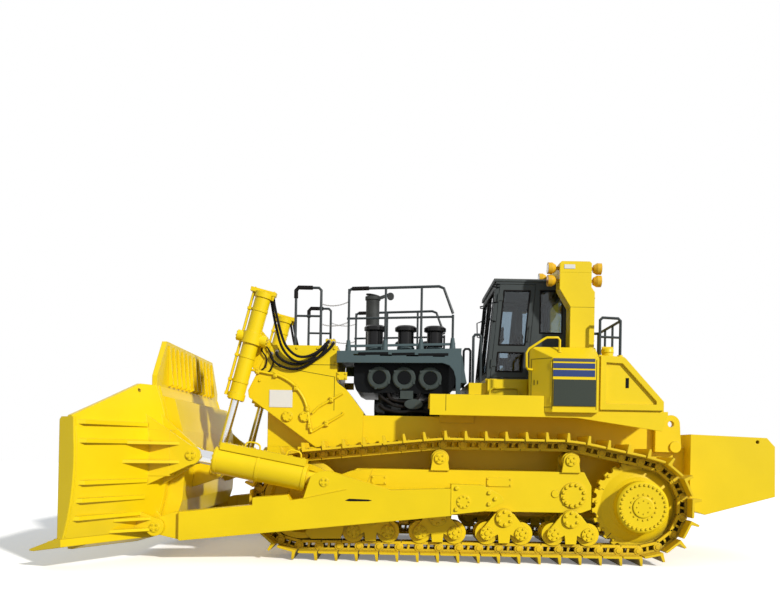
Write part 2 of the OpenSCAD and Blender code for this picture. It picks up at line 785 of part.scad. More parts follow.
module engine_deck() {
    color(slate) {
        side(-hood_half, hood_half) polygon([[guard_rear_x, hood_top(guard_rear_x)],
            [guard_rear_x, hood_top(guard_rear_x) - hood_t],
            [hood_rear_x, hood_top(hood_rear_x) - hood_t], [hood_rear_x, hood_top(hood_rear_x)]]);
        pair() side(hood_half - 30, hood_half) difference() {
            polygon([[guard_rear_x, hood_top(guard_rear_x)], [guard_rear_x, 3193], [3150, 3217],
                [3040, 3180], [2965, 3090], [2930, 2960], [2925, deck_z], [2850, deck_z],
                [hood_rear_x, hood_top(hood_rear_x)]]);
            for (i = [0:3]) {
                translate([3220 + i * 440, 3330]) square([200, 26], center = true);
            }
        }
        pair() for (x = pre_list) {
            post(x, 950, 150, hood_top(x) - hood_t / 2, pre_z - fit);
        }
        post(stack_x, 0, stack_r + 75, hood_top(stack_x) - hood_t / 2, pre_z - fit);
        pair() for (x = rail_posts) {
            translate([x, rail_y - 32, hood_top(x) - hood_t / 2])
                cylinder(r1 = 55, r2 = 30, h = rail_foot_h + hood_t / 2);
        }
        pair() side(rail_y - 45, rail_y - 20) polygon([[rail_posts[0] + 45, hood_top(rail_posts[0]) + 60],
            [rail_posts[3] - 45, hood_top(rail_posts[3]) + 60],
            [rail_posts[3] - 45, hood_top(rail_posts[3]) + 100],
            [rail_posts[0] + 45, hood_top(rail_posts[0]) + 100]]);
        side(-cab_half + 80, cab_half - 80) polygon([[hood_rear_x + 20, hood_top(hood_rear_x) - hood_t],
            [hood_rear_x + 20, 2915 + fit], [2715, 2915 + fit], [2735, 2915 + 90],
            [hood_rear_x - 40, hood_top(hood_rear_x) - 90], [hood_rear_x, hood_top(hood_rear_x) - hood_t / 2]]);
    }
}

rail_line = rail_y - 32;

module handrails() {
    color(slate) pair() {
        for (x = rail_posts) {
            tube([[x, rail_line, hood_top(x) + rail_foot_h],
                [x, rail_line, x < 3000 ? 4030 : 4430 + (4730 - x) * 0.045]], rail_r * 0.85);
        }
        tube([[4730, rail_line, 4360], [4722, rail_line, 4410], [4680, rail_line, 4436],
            [3230, rail_line, 4501], [3150, rail_line, 4470], [2990, rail_line, 4050]], rail_r);
        tube([[4760, rail_line, 3936], [2990, rail_line, 3998]], rail_r * 0.8);
        tube([[5641, 1000, guard_top_z], [5641, 1000, 4440], [5600, 1000, 4480], [5254, 1000, 4480],
            [5214, 1000, 4440], [5214, 1000, guard_top_z]], rail_r);
        tube([[5641, 1000, 4000], [5214, 1000, 4000]], rail_r * 0.8);
        tube([[2620, 960, 2915], [2620, 960, 3700], [2590, 960, 3740], [2520, 960, 3740],
            [2490, 960, 3700], [2490, 960, 2915]], rail_r);
        tube([[tank_rail_x[0], tank_rail_y, tank_rail_z], [tank_rail_x[0], tank_rail_y, 3910],
            [tank_rail_x[0] - 40, tank_rail_y, 3950], [tank_rail_x[1] + 40, tank_rail_y, 3940],
            [tank_rail_x[1], tank_rail_y, 3900], [tank_rail_x[1], tank_rail_y, tank_rail_z]], rail_r);
        tube([[tank_rail_x[0], tank_rail_y, 3640], [tank_rail_x[1], tank_rail_y, 3630]], rail_r * 0.8);
        tube([[tank_rail_x[1], tank_rail_y, 3900], [tank_rail_x[1], tank_rail_y - 1370, 3900],
            [tank_rail_x[1] + 40, tank_rail_y - 1410, 3900],
            [tank_rail_x[0], tank_rail_y - 1410, 3900]], rail_r);
        for (x = tank_rail_x) {
            tube([[x, tank_rail_y - 1410, tank_rail_z], [x, tank_rail_y - 1410, 3900]], rail_r * 0.85);
        }
        for (y = [tank_rail_y - 470, tank_rail_y - 940]) {
            tube([[tank_rail_x[1], y, tank_rail_z], [tank_rail_x[1], y, 3900]], rail_r * 0.85);
        }
    }
}

// Cab
function lean(x, z) = x - cab_lean * (z - cab_z);
door_x0 = 1716;
door_x1 = cab_front_x - 60;
door_z0 = cab_z + 20;
door_z1 = cab_top_z - 40;
sill_z = cab_z + 790;
back_sill_z = cab_z + 660;
handle_z = door_z0 + 600;

module leaning(x0, x1, z0, z1) {
    polygon([[lean(x0, z0), z0], [lean(x1, z0), z0], [lean(x1, z1), z1], [lean(x0, z1), z1]]);
}

module cab_wall_side() {
    color(slate) side(cab_half - cab_wall, cab_half) difference() {
        polygon([[cab_rear_x, cab_z], [cab_front_x, cab_z], [lean(cab_front_x, cab_top_z), cab_top_z],
            [cab_rear_x, cab_top_z]]);
        leaning(door_x0, door_x1, door_z0, door_z1);
        translate([cab_rear_x + 130, sill_z]) square([370, cab_h - 930]);
    }
}

module cab_side_left() {
    left() cab_wall_side();
}

module cab_side_right() {
    right() cab_wall_side();
}

module cab_front() {
    color(slate) difference() {
        side(-cab_half + cab_wall, cab_half - cab_wall)
            leaning(cab_front_x - cab_wall, cab_front_x, cab_z, cab_top_z);
        box(2000, 2600, -820, -20, cab_z + 130, cab_top_z - 110);
        box(2000, 2600, 20, 820, cab_z + 130, cab_top_z - 110);
    }
}

module cab_back() {
    color(slate) difference() {
        box(cab_rear_x, cab_rear_x + cab_wall, -cab_half + cab_wall, cab_half - cab_wall,
            cab_z, cab_top_z);
        box(cab_rear_x - 10, cab_rear_x + 100, -720, 720, back_sill_z, cab_top_z - 140);
    }
}

module cab_roof() {
    color(slate) front(cab_rear_x - 10, lean(cab_front_x, cab_top_z) + 30) polygon([
        [-cab_half - 12, cab_top_z], [cab_half + 12, cab_top_z], [cab_half + 12, cab_top_z + 30],
        [cab_half - 60, cab_top_z + 65], [-cab_half + 60, cab_top_z + 65],
        [-cab_half - 12, cab_top_z + 30]]);
}

module cab_glass() {
    color(glass) {
        side(20, 820) leaning(cab_front_x - 36, cab_front_x - 22, cab_z + 130, cab_top_z - 110);
        side(-820, -20) leaning(cab_front_x - 36, cab_front_x - 22, cab_z + 130, cab_top_z - 110);
        box(cab_rear_x + 22, cab_rear_x + 36, -720, 720, back_sill_z, cab_top_z - 140);
        pair() box(cab_rear_x + 130, cab_rear_x + 500, cab_half - 36, cab_half - 22,
            sill_z, sill_z + cab_h - 930);
    }
}

module operator_seat() {
    color(black) {
        box(1440, 1760, -180, 180, cab_z, cab_z + 330);
        box(1350, 1860, -270, 270, cab_z + 330, cab_z + 470);
        translate([1350, 0, cab_z + 440]) rotate([0, -8, 0]) translate([0, -250, 0]) cube([130, 500, 680]);
        pair() box(1400, 1760, 290, 370, cab_z + 560, cab_z + 640);
        pair() box(1440, 1500, 255, 300, cab_z + 400, cab_z + 600);
    }
}

module control_console() {
    color(black) {
        side(-420, 420) polygon([[2080, cab_z], [2240, cab_z], [2190, cab_z + 700], [2060, cab_z + 820],
            [2020, cab_z + 760], [2110, cab_z + 620]]);
        pair() box(1380, 1900, 450, 640, cab_z, cab_z + 520);
        pair() post(1780, 540, 22, cab_z + 500, cab_z + 720);
        pair() post(1780, 540, 42, cab_z + 700, cab_z + 790);
    }
}

module rops_posts() {
    color(yellow) pair() side(rops_in, rops_out) polygon([[690, deck_z], [1090, deck_z],
        [1090, cab_top_z - 484], [1269, cab_top_z - 192], [1269, rops_z - beam_h],
        [747, rops_z - beam_h], [747, cab_top_z - 160], [690, cab_top_z - 240]]);
}

module rops_beam() {
    color(yellow) {
        side(-rops_out, rops_out) polygon([[747, rops_z - beam_h], [1269, rops_z - beam_h],
            [1269, rops_z - 30], [1240, rops_z], [780, rops_z], [747, rops_z - 30]]);
    }
}

module lamp(x, y, z, s) {
    box(min(x, x + s * 60), max(x, x + s * 60), y - 20, y + 20, z - 25, z + 25);
    translate([x + s * 50, y, z]) rotate([0, s * 90, 0])
        rotate_extrude() polygon([[0, 0], [60, 0], [95, 60], [95, 130], [84, 130], [78, 118], [0, 118]]);
}

module work_lamps() {
    color(yellow) pair() {
        for (z = [rops_z - beam_h + 90, rops_z - beam_h - 115]) {
            lamp(1269, rops_out - 120, z, 1);
            lamp(747, rops_out - 120, z, -1);
        }
        lamp(1269, 500, rops_z - beam_h + 90, 1);
    }
}

// Doors, hinged along their front edge
hinge_y = cab_half + 15 + fit;

module door_panel() {
    color(slate) {
        side(cab_half - cab_wall + 4, cab_half) difference() {
            leaning(door_x0 + door_gap, door_x1 - door_gap, door_z0 + door_gap, door_z1 - door_gap);
            leaning(door_x0 + 90, door_x1 - 90, door_z0 + 560, door_z1 - 110);
            leaning(door_x0 + 90, door_x1 - 90, door_z0 + 110, door_z0 + 430);
        }
        for (f = [0.15, 0.85]) {
            z = door_z0 + f * (door_z1 - door_z0);
            translate([lean(door_x1, z) + 2, hinge_y, z]) rotate([0, -atan(cab_lean), 0])
                translate([0, 0, -70]) cylinder(r = 15, h = 140);
            box(lean(door_x1, z) - 80, lean(door_x1, z) - 5, cab_half - 2, cab_half + 12, z - 45, z + 45);
        }
        for (z = [handle_z + 30, handle_z + 250]) {
            drum(lean(door_x0, z) + 48, z, 12, cab_half - 5, cab_half + 66);
        }
        translate([lean(door_x0, handle_z) + 48, cab_half + 62, handle_z]) rotate([0, -atan(cab_lean), 0])
            cylinder(r = 15, h = 280);
    }
}

module door_pane() {
    color(glass) side(cab_half - 30, cab_half - 16) {
        leaning(door_x0 + 90, door_x1 - 90, door_z0 + 560, door_z1 - 110);
        leaning(door_x0 + 90, door_x1 - 90, door_z0 + 110, door_z0 + 430);
    }
}

module cab_door_left() {
    left() door_panel();
}

module cab_door_right() {
    right() door_panel();
}

module door_glass_left() {
    left() door_pane();
}

module door_glass_right() {
    right() door_pane();
}

// Push arms
arm_tail_x = arm_x + 184;
function arm_bottom(x) = 773 - 476 * (x - arm_tail_x) / (blade_pin_x - 120 - arm_tail_x);

module arm_beam() {
    polygon([[arm_tail_x - 10, arm_bottom(arm_tail_x)], [blade_pin_x - 390, arm_bottom(blade_pin_x - 390)],
        [blade_pin_x - 60, blade_pin_z - 125], [blade_pin_x, blade_pin_z - 130],
        [blade_pin_x, blade_pin_z + 130], [blade_pin_x - 240, blade_pin_z + 220],
        [tilt_x + 1082, 884], [tilt_x + 1082, 995], [tilt_x + 560, 1047], [tilt_x + 512, 963],
        [tilt_x + 315, 1000], [tilt_x - 345, 1150], [tilt_x - 1014, 1142], [arm_tail_x - 10, 1184]]);
}

// Cap over the trunnion at the rear end, pointed at the back
module arm_cap() {
    polygon([[arm_tail_x, arm_z - 200], [arm_tail_x, arm_z + 260], [arm_x - 310, arm_z + 250],
        [arm_x - 580, arm_z + 100], [arm_x - 612, arm_z + 40], [arm_x - 580, arm_z - 15],
        [arm_x - 310, arm_z - 140]]);
}

module arm_ear() {
    polygon([[tilt_x + 315, tilt_z - 260], [tilt_x + 250, tilt_z - 50], [tilt_x + 202, tilt_z + 91],
        [tilt_x + 72, tilt_z + 161], [tilt_x - 55, tilt_z + 168], [tilt_x - 1014, tilt_z - 108],
        [tilt_x - 785, tilt_z - 250]]);
}

module push_arm() {
    color(yellow) difference() {
        union() {
            side(arm_y - arm_half, arm_y + arm_half) arm_beam();
            side(arm_y - arm_half, arm_y + arm_half) arm_cap();
            drum(blade_pin_x, blade_pin_z, 130, arm_y - 110, arm_y + 110);
            for (s = [-1, 1]) {
                side(arm_y + s * (arm_half - 35) - 35, arm_y + s * (arm_half - 35) + 35) arm_ear();
            }
            drum(tilt_x, tilt_z, 70, arm_y - arm_half + 20, arm_y + arm_half + 12);
        }
        drum(arm_x, arm_z, 110.2, arm_y - 400, arm_y + arm_half - 35);
        drum(blade_pin_x, blade_pin_z, 75.1, arm_y - 400, arm_y + 400);
        box(blade_pin_x - 360, blade_pin_x + 460, arm_y + 110, arm_y + 400, 0, 2000);
        box(blade_pin_x - 360, blade_pin_x + 460, arm_y - 400, arm_y - 110, 0, 2000);
    }
}

module push_arm_left() {
    left() push_arm();
}

module push_arm_right() {
    right() push_arm();
}

// Cylinders: a turns +Z onto the line from one point to the next, in the X Z plane
function turn(ax, az, bx, bz) = atan2(bx - ax, bz - az);
function gap2(ax, az, bx, bz) = norm([bx - ax, bz - az]);
tilt_turn = turn(tilt_x, tilt_z, tilt_eye_x, tilt_eye_z);
tilt_len = gap2(tilt_x, tilt_z, tilt_eye_x, tilt_eye_z);
lift_turn = turn(lift_x, lift_z, lift_eye_x, lift_eye_z);
lift_len = gap2(lift_x, lift_z, lift_eye_x, lift_eye_z);
tilt_rod_r = 105;
tilt_gland = 1730;
lift_gland = 1050;
lift_cap = 780;

module tilt_barrel() {
    color(yellow) translate([tilt_x, arm_y, tilt_z]) rotate([0, tilt_turn, 0]) {
        difference() {
            union() {
                rotate_extrude() polygon([[0, 60], [110, 60], [110, 290], [tilt_r, 290],
                    [tilt_r, tilt_gland], [tilt_rod_r + 1, tilt_gland],
                    [tilt_rod_r + 1, tilt_gland - 80], [tilt_r - 45, tilt_gland - 80],
                    [tilt_r - 45, 400], [0, 400]]);
                rotate([90, 0, 0]) translate([0, 0, -100]) cylinder(r = 140, h = 200);
                translate([-tilt_r - 70, -150, 330]) cube([110, 300, 1330]);
            }
            rotate([90, 0, 0]) translate([0, 0, -200]) cylinder(r = 70.1, h = 400);
        }
    }
}

module tilt_rod() {
    color(steel) translate([tilt_x, arm_y, tilt_z]) rotate([0, tilt_turn, 0]) {
        translate([0, 0, 900]) cylinder(r = tilt_rod_r, h = tilt_len - 900 - 60);
        translate([0, 0, 900]) cylinder(r = tilt_r - 46, h = 120);
        difference() {
            translate([0, 0, tilt_len]) rotate([90, 0, 0]) translate([0, 0, -100])
                cylinder(r = 135, h = 200);
            translate([0, 0, tilt_len]) rotate([90, 0, 0]) translate([0, 0, -200])
                cylinder(r = 65, h = 400);
        }
    }
}

module lift_barrel() {
    color(yellow) translate([lift_x, lift_y, lift_z]) rotate([0, lift_turn, 0]) {
        difference() {
            union() {
                translate([0, 0, -lift_cap]) cylinder(r = lift_r, h = lift_cap + lift_gland);
                translate([0, 0, -lift_cap]) cylinder(r = lift_r + 18, h = 90);
                translate([0, 0, lift_gland - 110]) cylinder(r = lift_r + 14, h = 110);
                translate([0, 0, -95]) cylinder(r = lift_r + 34, h = 190);
                rotate([0, 90, 0]) translate([0, 0, -250]) cylinder(r = 92, h = 500);
                rotate([90, 0, 0]) cylinder(r = 75, h = 310);
                translate([-230, -60, -lift_cap - 50]) cube([430, 120, 70]);
                translate([-lift_r - 45, 0, -lift_cap - 20]) cylinder(r = 24, h = lift_cap + lift_gland - 50);
                translate([-lift_r - 72, -30, lift_gland - 100]) cube([100, 60, 60]);
            }
            translate([0, 0, -lift_cap + 60]) cylinder(r = lift_r - 30, h = lift_cap + lift_gland - 160);
            translate([0, 0, 0]) cylinder(r = lift_rod_r + 1, h = lift_gland + 100);
        }
    }
}

lift_rod_len = 1990;

module lift_rod() {
    color(steel) translate([lift_x, lift_y, lift_z]) rotate([0, lift_turn, 0]) {
        translate([0, 0, lift_len - lift_rod_len]) cylinder(r = lift_rod_r, h = lift_rod_len - 60);
        translate([0, 0, lift_len - lift_rod_len]) cylinder(r = lift_r - 31, h = 90);
        difference() {
            translate([0, 0, lift_len]) rotate([90, 0, 0]) translate([0, 0, -60])
                cylinder(r = 125, h = 120);
            translate([0, 0, lift_len]) rotate([90, 0, 0]) translate([0, 0, -200])
                cylinder(r = 60, h = 400);
        }
    }
}

module tilt_barrel_left() {
    left() tilt_barrel();
}

module tilt_barrel_right() {
    right() tilt_barrel();
}

module tilt_rod_left() {
    left() tilt_rod();
}

module tilt_rod_right() {
    right() tilt_rod();
}

module lift_barrel_left() {
    left() lift_barrel();
}

module lift_barrel_right() {
    right() lift_barrel();
}

module lift_rod_left() {
    left() lift_rod();
}

module lift_rod_right() {
    right() lift_rod();
}

// Blade

module skin_outline(t) {
    intersection() {
        difference() {
            translate([face_o, face_z]) circle(r = face_r + t, $fn = 96);
            translate([face_o, face_z]) circle(r = face_r, $fn = 96);
        }
        translate([face_x - 500, skin_z0]) square([900, wing_z - skin_z0]);
    }
}

module wing_place() {
    back = face_x - face_t;
    translate([back, blade_mid, 0]) rotate([0, 0, -wing_turn]) translate([-back, 0, 0]) children();
}

// Mitre between the middle and a wing, in the plan of each
mitre = tan(wing_turn / 2);

module middle_plan() {
    back = face_x - face_t;
    polygon([[back - 800, -blade_mid - 800 * mitre], [back + 1200, -blade_mid + 1200 * mitre],
        [back + 1200, blade_mid - 1200 * mitre], [back - 800, blade_mid + 800 * mitre]]);
}

module wing_plan() {
    back = face_x - face_t;
    polygon([[back - 800, -800 * mitre], [back + 1200, 1200 * mitre], [back + 1200, wing_len],
        [back - 800, wing_len]]);
}

module wing_cut() {
    front(face_x - 600, face_x + 900) polygon([[-500, skin_z0 - 100], [wing_len + 40, skin_z0 - 100],
        [wing_len + 40, wing_tip_z], [0.23 * wing_len, wing_z], [-500, wing_z]]);
}

module blade_wing() {
    wing_place() intersection() {
        side(0, wing_len) skin_outline(face_t);
        wing_cut();
    }
    wing_place() side(wing_len - 45, wing_len) polygon([[face_at(skin_z0) - face_t, skin_z0],
        [face_at(skin_z0) + 12, skin_z0], [face_at(skin_z0), wing_tip_z - 40],
        [face_at(skin_z0) - 40, wing_tip_z], [face_x - face_t + 20, wing_tip_z], [face_x - face_t, face_z]]);
    wing_place() for (z = [700, 950, 1200, 1780, 2040]) {
        plan(z, z + 60) polygon([[face_at(z) - face_t + 40, 420], [face_at(z) - face_t - 20, 420],
            [face_at(z) - face_t - 60, wing_len - 160], [face_at(z) - face_t + 40, wing_len - 60]]);
    }
}

// Ear whose front edge lies inside the face plate, d ahead of the face of the middle
module ear_plate(x, z, r, d, z0, z1) {
    zm = (z0 + z1) / 2;
    translate([x, z]) circle(r = r);
    polygon([[x, max(z - r, z0)], [face_at(z0) + d, z0], [face_at(zm) + d, zm], [face_at(z1) + d, z1],
        [x, z + r]]);
}

// Tapered web between the outer side of an ear and the back of the wing
module ear_web(x, y, z, reach) {
    lead = face_at(z) - face_t / 2;
    plan(z, z + 45) polygon([[x, y], [lead + wing_lead(y), y], [lead + wing_lead(y + reach), y + reach],
        [lead + wing_lead(y + reach) - 35, y + reach]]);
}

// Reach of the wing face over the face of the middle, at a distance from the middle plane
function wing_lead(y) = (y - blade_mid) * wing_slope;
function ear_lead(y, s) = s < 0 ? -face_t / 2 : wing_lead(y) - 30;

module blade_body() {
    color(yellow) difference() {
        union() {
            side(-blade_mid, blade_mid) skin_outline(face_t);
            front(face_at(wing_z) - face_t, face_at(wing_z)) polygon([[-blade_mid, wing_z - 120],
                [blade_mid, wing_z - 120], [blade_mid, wing_z + 150], [spill_half, spill_z],
                [-spill_half, spill_z], [-blade_mid, wing_z + 150]]);
            pair() blade_wing();
            side(-blade_mid + 150, blade_mid - 150) polygon(concat(
                [for (z = [600:140:2560]) [face_at(z) - 30, z]],
                [[face_x - 130, 2500], [face_x - 260, 2000], [face_x - 310, 1500], [face_x - 270, 900],
                [face_x - 190, 640]]));
            pair() {
                for (s = [-1, 1]) {
                    side(lift_y + s * 95 - 20, lift_y + s * 95 + 20)
                        ear_plate(lift_eye_x, lift_eye_z, 130, -230, 1050, 1600);
                    drum(lift_eye_x, lift_eye_z, 70, lift_y + s * 125 - 14, lift_y + s * 125 + 14);
                    side(arm_y + s * 150 - 30, arm_y + s * 150 + 30)
                        ear_plate(blade_pin_x, blade_pin_z, 135, ear_lead(arm_y + 150, s),
                            skin_z0 + 2, blade_pin_z + 235);
                    side(arm_y + s * 145 - 30, arm_y + s * 145 + 30)
                        ear_plate(tilt_eye_x, tilt_eye_z, 145, ear_lead(arm_y + 145, s), 1150, 2250);
                    drum(tilt_eye_x, tilt_eye_z, 75, arm_y + s * 185 - 14, arm_y + s * 185 + 14);
                }
                drum(blade_pin_x, blade_pin_z, 75, arm_y - 195, arm_y + 195);
                drum(tilt_eye_x, tilt_eye_z, 55, arm_y - 180, arm_y + 180);
                for (z = [tilt_eye_z + 150, tilt_eye_z - 130]) {
                    ear_web(tilt_eye_x + 170, arm_y + 172, z, 480);
                }
                for (z = [blade_pin_z + 105, skin_z0 + 15]) {
                    ear_web(blade_pin_x + 60, arm_y + 178, z, 420);
                }
                plan(1300, 2000) polygon([[face_x - 200, arm_y - 180],
                    [face_x - face_t / 2, arm_y - 180],
                    [face_x - face_t / 2 + wing_lead(arm_y + 180), arm_y + 180],
                    [face_x - 200, arm_y + 180]]);
            }
        }
        pair() wing_place() translate([0, 0.23 * wing_len + 60, wing_z - 110]) rotate([0, 90, 0])
            translate([0, 0, face_x - 500]) cylinder(r = 30, h = 1400);
    }
}

module edge_outline(reach) {
    root = face_at(skin_z0);
    polygon([[root - face_t, skin_z0], [root + 20, skin_z0], [root + reach, blade_z0 + 25],
        [root + reach, blade_z0], [root + reach - 90, blade_z0], [root - face_t, skin_z0 - 110]]);
}

module cutting_edge() {
    color(steel) {
        intersection() {
            side(-blade_mid - 400, blade_mid + 400) edge_outline(edge_reach);
            plan(0, skin_z0 + 10) middle_plan();
        }
        pair() wing_place() intersection() {
            side(-400, wing_len - bit_len) edge_outline(edge_reach);
            plan(0, skin_z0 + 10) wing_plan();
        }
        pair() wing_place() side(wing_len - bit_len, wing_len + bit_over) edge_outline(bit_reach);
    }
}

place() main_frame();
place() cross_shafts();
place() radiator_guard();
place() radiator_grille();
place() engine();
place() air_cleaners();
place() precleaners();
place() exhaust_stack();
place() engine_deck();
place() handrails();
place() side_decks();
place() cab_base();
place() cab_roof();
place() cab_front();
place() cab_back();
place() cab_side_left();
place() cab_side_right();
place() cab_glass();
place() operator_seat();
place() control_console();
place() rops_posts();
place() rops_beam();
place() work_lamps();
place() side_cabinets();
place() fuel_tank();
place() tow_brackets();
place() counterweight();
place() track_frame_left();
place() track_frame_right();
place() track_left();
place() track_right();
place() sprockets();
place() idlers();
place() bogies();
place() track_rollers();
place() carrier_rollers();
place() push_arm_left();
place() push_arm_right();
place() blade_body();
place() cutting_edge();
place() tilt_barrel_left();
place() tilt_barrel_right();
place() tilt_rod_left();
place() tilt_rod_right();
place() lift_barrel_left();
place() lift_barrel_right();
place() lift_rod_left();
place() lift_rod_right();
place() cab_door_left();
place() cab_door_right();
place() door_glass_left();
place() door_glass_right();
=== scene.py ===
"""Looks of the bulldozer: finishes, small hardware, hoses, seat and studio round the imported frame.

Metres, +X forward, +Y left, +Z up. Lengths along X are written from the sprocket axle, as on the
machine's drawings, and ahead() moves them to the frame, whose origin is in the middle.
"""

import math
from itertools import product

import bpy
from mathutils import Matrix, Vector


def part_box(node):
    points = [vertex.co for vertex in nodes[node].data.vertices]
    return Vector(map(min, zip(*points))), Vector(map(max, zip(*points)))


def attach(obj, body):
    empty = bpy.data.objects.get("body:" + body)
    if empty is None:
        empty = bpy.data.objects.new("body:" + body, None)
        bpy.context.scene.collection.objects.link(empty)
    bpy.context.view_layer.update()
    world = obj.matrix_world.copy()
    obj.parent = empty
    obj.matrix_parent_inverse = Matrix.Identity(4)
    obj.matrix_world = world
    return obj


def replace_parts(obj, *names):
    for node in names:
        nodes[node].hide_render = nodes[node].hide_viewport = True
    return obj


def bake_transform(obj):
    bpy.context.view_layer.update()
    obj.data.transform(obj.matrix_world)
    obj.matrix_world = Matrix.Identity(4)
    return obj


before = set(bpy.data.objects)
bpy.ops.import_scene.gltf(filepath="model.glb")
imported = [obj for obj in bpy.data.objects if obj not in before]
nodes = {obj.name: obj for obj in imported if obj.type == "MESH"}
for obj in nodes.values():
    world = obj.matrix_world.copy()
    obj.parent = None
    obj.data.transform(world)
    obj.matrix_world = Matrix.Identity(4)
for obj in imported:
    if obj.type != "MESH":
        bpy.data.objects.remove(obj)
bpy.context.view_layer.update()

# Frame
SPROCKET_X = 3.32256
CHASSIS = "chassis"
SIDES = (("left", 1), ("right", -1))
Y_AXIS = Vector((0, 1, 0))
Z_AXIS = Vector((0, 0, 1))

# Photograph
IMAGE_W, IMAGE_H = 780, 600
FOCAL_PX = 796.5
PRINCIPAL_PX = (395, 450)
CAMERA_AHEAD, CAMERA_Y, CAMERA_Z = 3.92, 14.5, 1.755
CAMERA_ROLL = math.radians(1.0)
SENSOR = 36

# Undercarriage, as in the frame
TRACK_Y = 1.61
SHOE_HALF = 0.405
LINK_PITCH = 0.318
CHAIN_R = 0.714
WHEEL_BASE = 5.4
WHEEL_Z = 0.919
PIN_Z = 0.205
GROUSER = 0.11
PLATE_DROP = 0.095
RAIL_H = 0.09
LINK_W = 0.09
LINK_GAP = 0.13
CARRIER_RISE = 0.235
CARRIERS = (3.2, 1.11)
BOGIES = [1.1 + i * 1.062 for i in range(4)]
BOGIE_Z = 0.7
ROLLER_HALF = 0.275
ROLLER_Z = 0.4553


def ahead(x):
    """Frame X of a length measured forward from the sprocket axle."""
    return x - SPROCKET_X


def point(x, y, z):
    return Vector((ahead(x), y, z))


# Camera, at the photograph's place
def make_camera():
    data = bpy.data.cameras.new("photo_view")
    data.sensor_width = SENSOR
    data.lens = FOCAL_PX / IMAGE_W * SENSOR
    data.shift_x = (IMAGE_W / 2 - PRINCIPAL_PX[0]) / IMAGE_W
    data.shift_y = (PRINCIPAL_PX[1] - IMAGE_H / 2) / IMAGE_W
    data.clip_end = 200
    camera = bpy.data.objects.new("photo_view", data)
    looking = Matrix.Rotation(math.pi, 4, "Z") @ Matrix.Rotation(math.pi / 2, 4, "X")
    camera.matrix_world = (
        Matrix.Translation(point(CAMERA_AHEAD, CAMERA_Y, CAMERA_Z))
        @ looking
        @ Matrix.Rotation(CAMERA_ROLL, 4, "Z")
    )
    bpy.context.scene.collection.objects.link(camera)
    bpy.context.scene.camera = camera


make_camera()


# Materials
def feed(tree, node, inputs):
    """Link the sockets and set the constants among these inputs of a node."""
    for key, value in inputs.items():
        if isinstance(value, bpy.types.NodeSocket):
            tree.links.new(value, node.inputs[key])
        else:
            node.inputs[key].default_value = value


def new_node(tree, kind, inputs=None, **settings):
    node = tree.nodes.new("ShaderNode" + kind)
    for key, value in settings.items():
        setattr(node, key, value)
    feed(tree, node, inputs or {})
    return node


def new_material(name, **sockets):
    """Material with a Principled shader whose sockets have these constant values."""
    material = bpy.data.materials.new(name)
    material.use_nodes = True
    shader = material.node_tree.nodes["Principled BSDF"]
    for key, value in sockets.items():
        shader.inputs[key.replace("_", " ")].default_value = value
    return material, material.node_tree, shader


def object_coords(tree):
    return new_node(tree, "TexCoord").outputs["Object"]


def noise(tree, scale, detail, coords):
    inputs = {"Vector": coords, "Scale": scale, "Detail": detail}
    return new_node(tree, "TexNoise", inputs).outputs["Fac"]


def wave(tree, scale, direction, distortion=0.0):
    inputs = {"Vector": object_coords(tree), "Scale": scale, "Distortion": distortion}
    return new_node(tree, "TexWave", inputs, bands_direction=direction).outputs["Fac"]


def relief(tree, height, strength, depth, normal=None):
    inputs = {"Height": height, "Strength": strength, "Distance": depth}
    if normal:
        inputs["Normal"] = normal
    return new_node(tree, "Bump", inputs).outputs["Normal"]


def spread(tree, value, low, high, to_low=0.0, to_high=1.0):
    ends = {"From Min": low, "From Max": high, "To Min": to_low, "To Max": to_high}
    return new_node(tree, "MapRange", {"Value": value, **ends}).outputs["Result"]


def maths(tree, operation, a, b):
    return new_node(tree, "Math", {0: a, 1: b}, operation=operation).outputs["Value"]


# Sockets of the Mix node for colours, by number because their names repeat
MIX_FACTOR, MIX_A, MIX_B, MIX_RESULT = 0, 6, 7, 2


def blend_colour(tree, factor, a, b):
    inputs = {MIX_FACTOR: factor, MIX_A: a, MIX_B: b}
    return new_node(tree, "Mix", inputs, data_type="RGBA").outputs[MIX_RESULT]


def rgb(r, g, b):
    return (r, g, b, 1.0)


def darker(colour, share):
    return rgb(*[c * share for c in colour[:3]])


EDGE_RADIUS, GRAIN_EDGE = 0.014, 0.006
DUST = rgb(0.36, 0.27, 0.15)
PRIMER = rgb(0.2, 0.13, 0.06)
# Painted shade: the dark brown laid into corners and crevices, and how far around a point that shade
# looks.
CORNER_SHADE = rgb(0.085, 0.055, 0.025)
SHADE_REACH = 0.1
NEAR_SAMPLES = 4
COAT_ROUGH, PAINT_SPECULAR = 0.22, 0.28
CLOUD, SPECKLE, PEEL = 1.1, 38.0, 260.0
PEEL_DEPTH = 0.002
THREAD = 0.004
LENS_RIBS = 70.0


def soft_edges(tree, radius):
    """Normal rounded over the solid's edges, and a mask that is 1 along them."""
    rounded = new_node(tree, "Bevel", {"Radius": radius}, samples=NEAR_SAMPLES).outputs["Normal"]
    flat = new_node(tree, "NewGeometry").outputs["Normal"]
    same = new_node(tree, "VectorMath", {0: rounded, 1: flat}, operation="DOT_PRODUCT")
    return rounded, spread(tree, same.outputs["Value"], 0.995, 0.8)


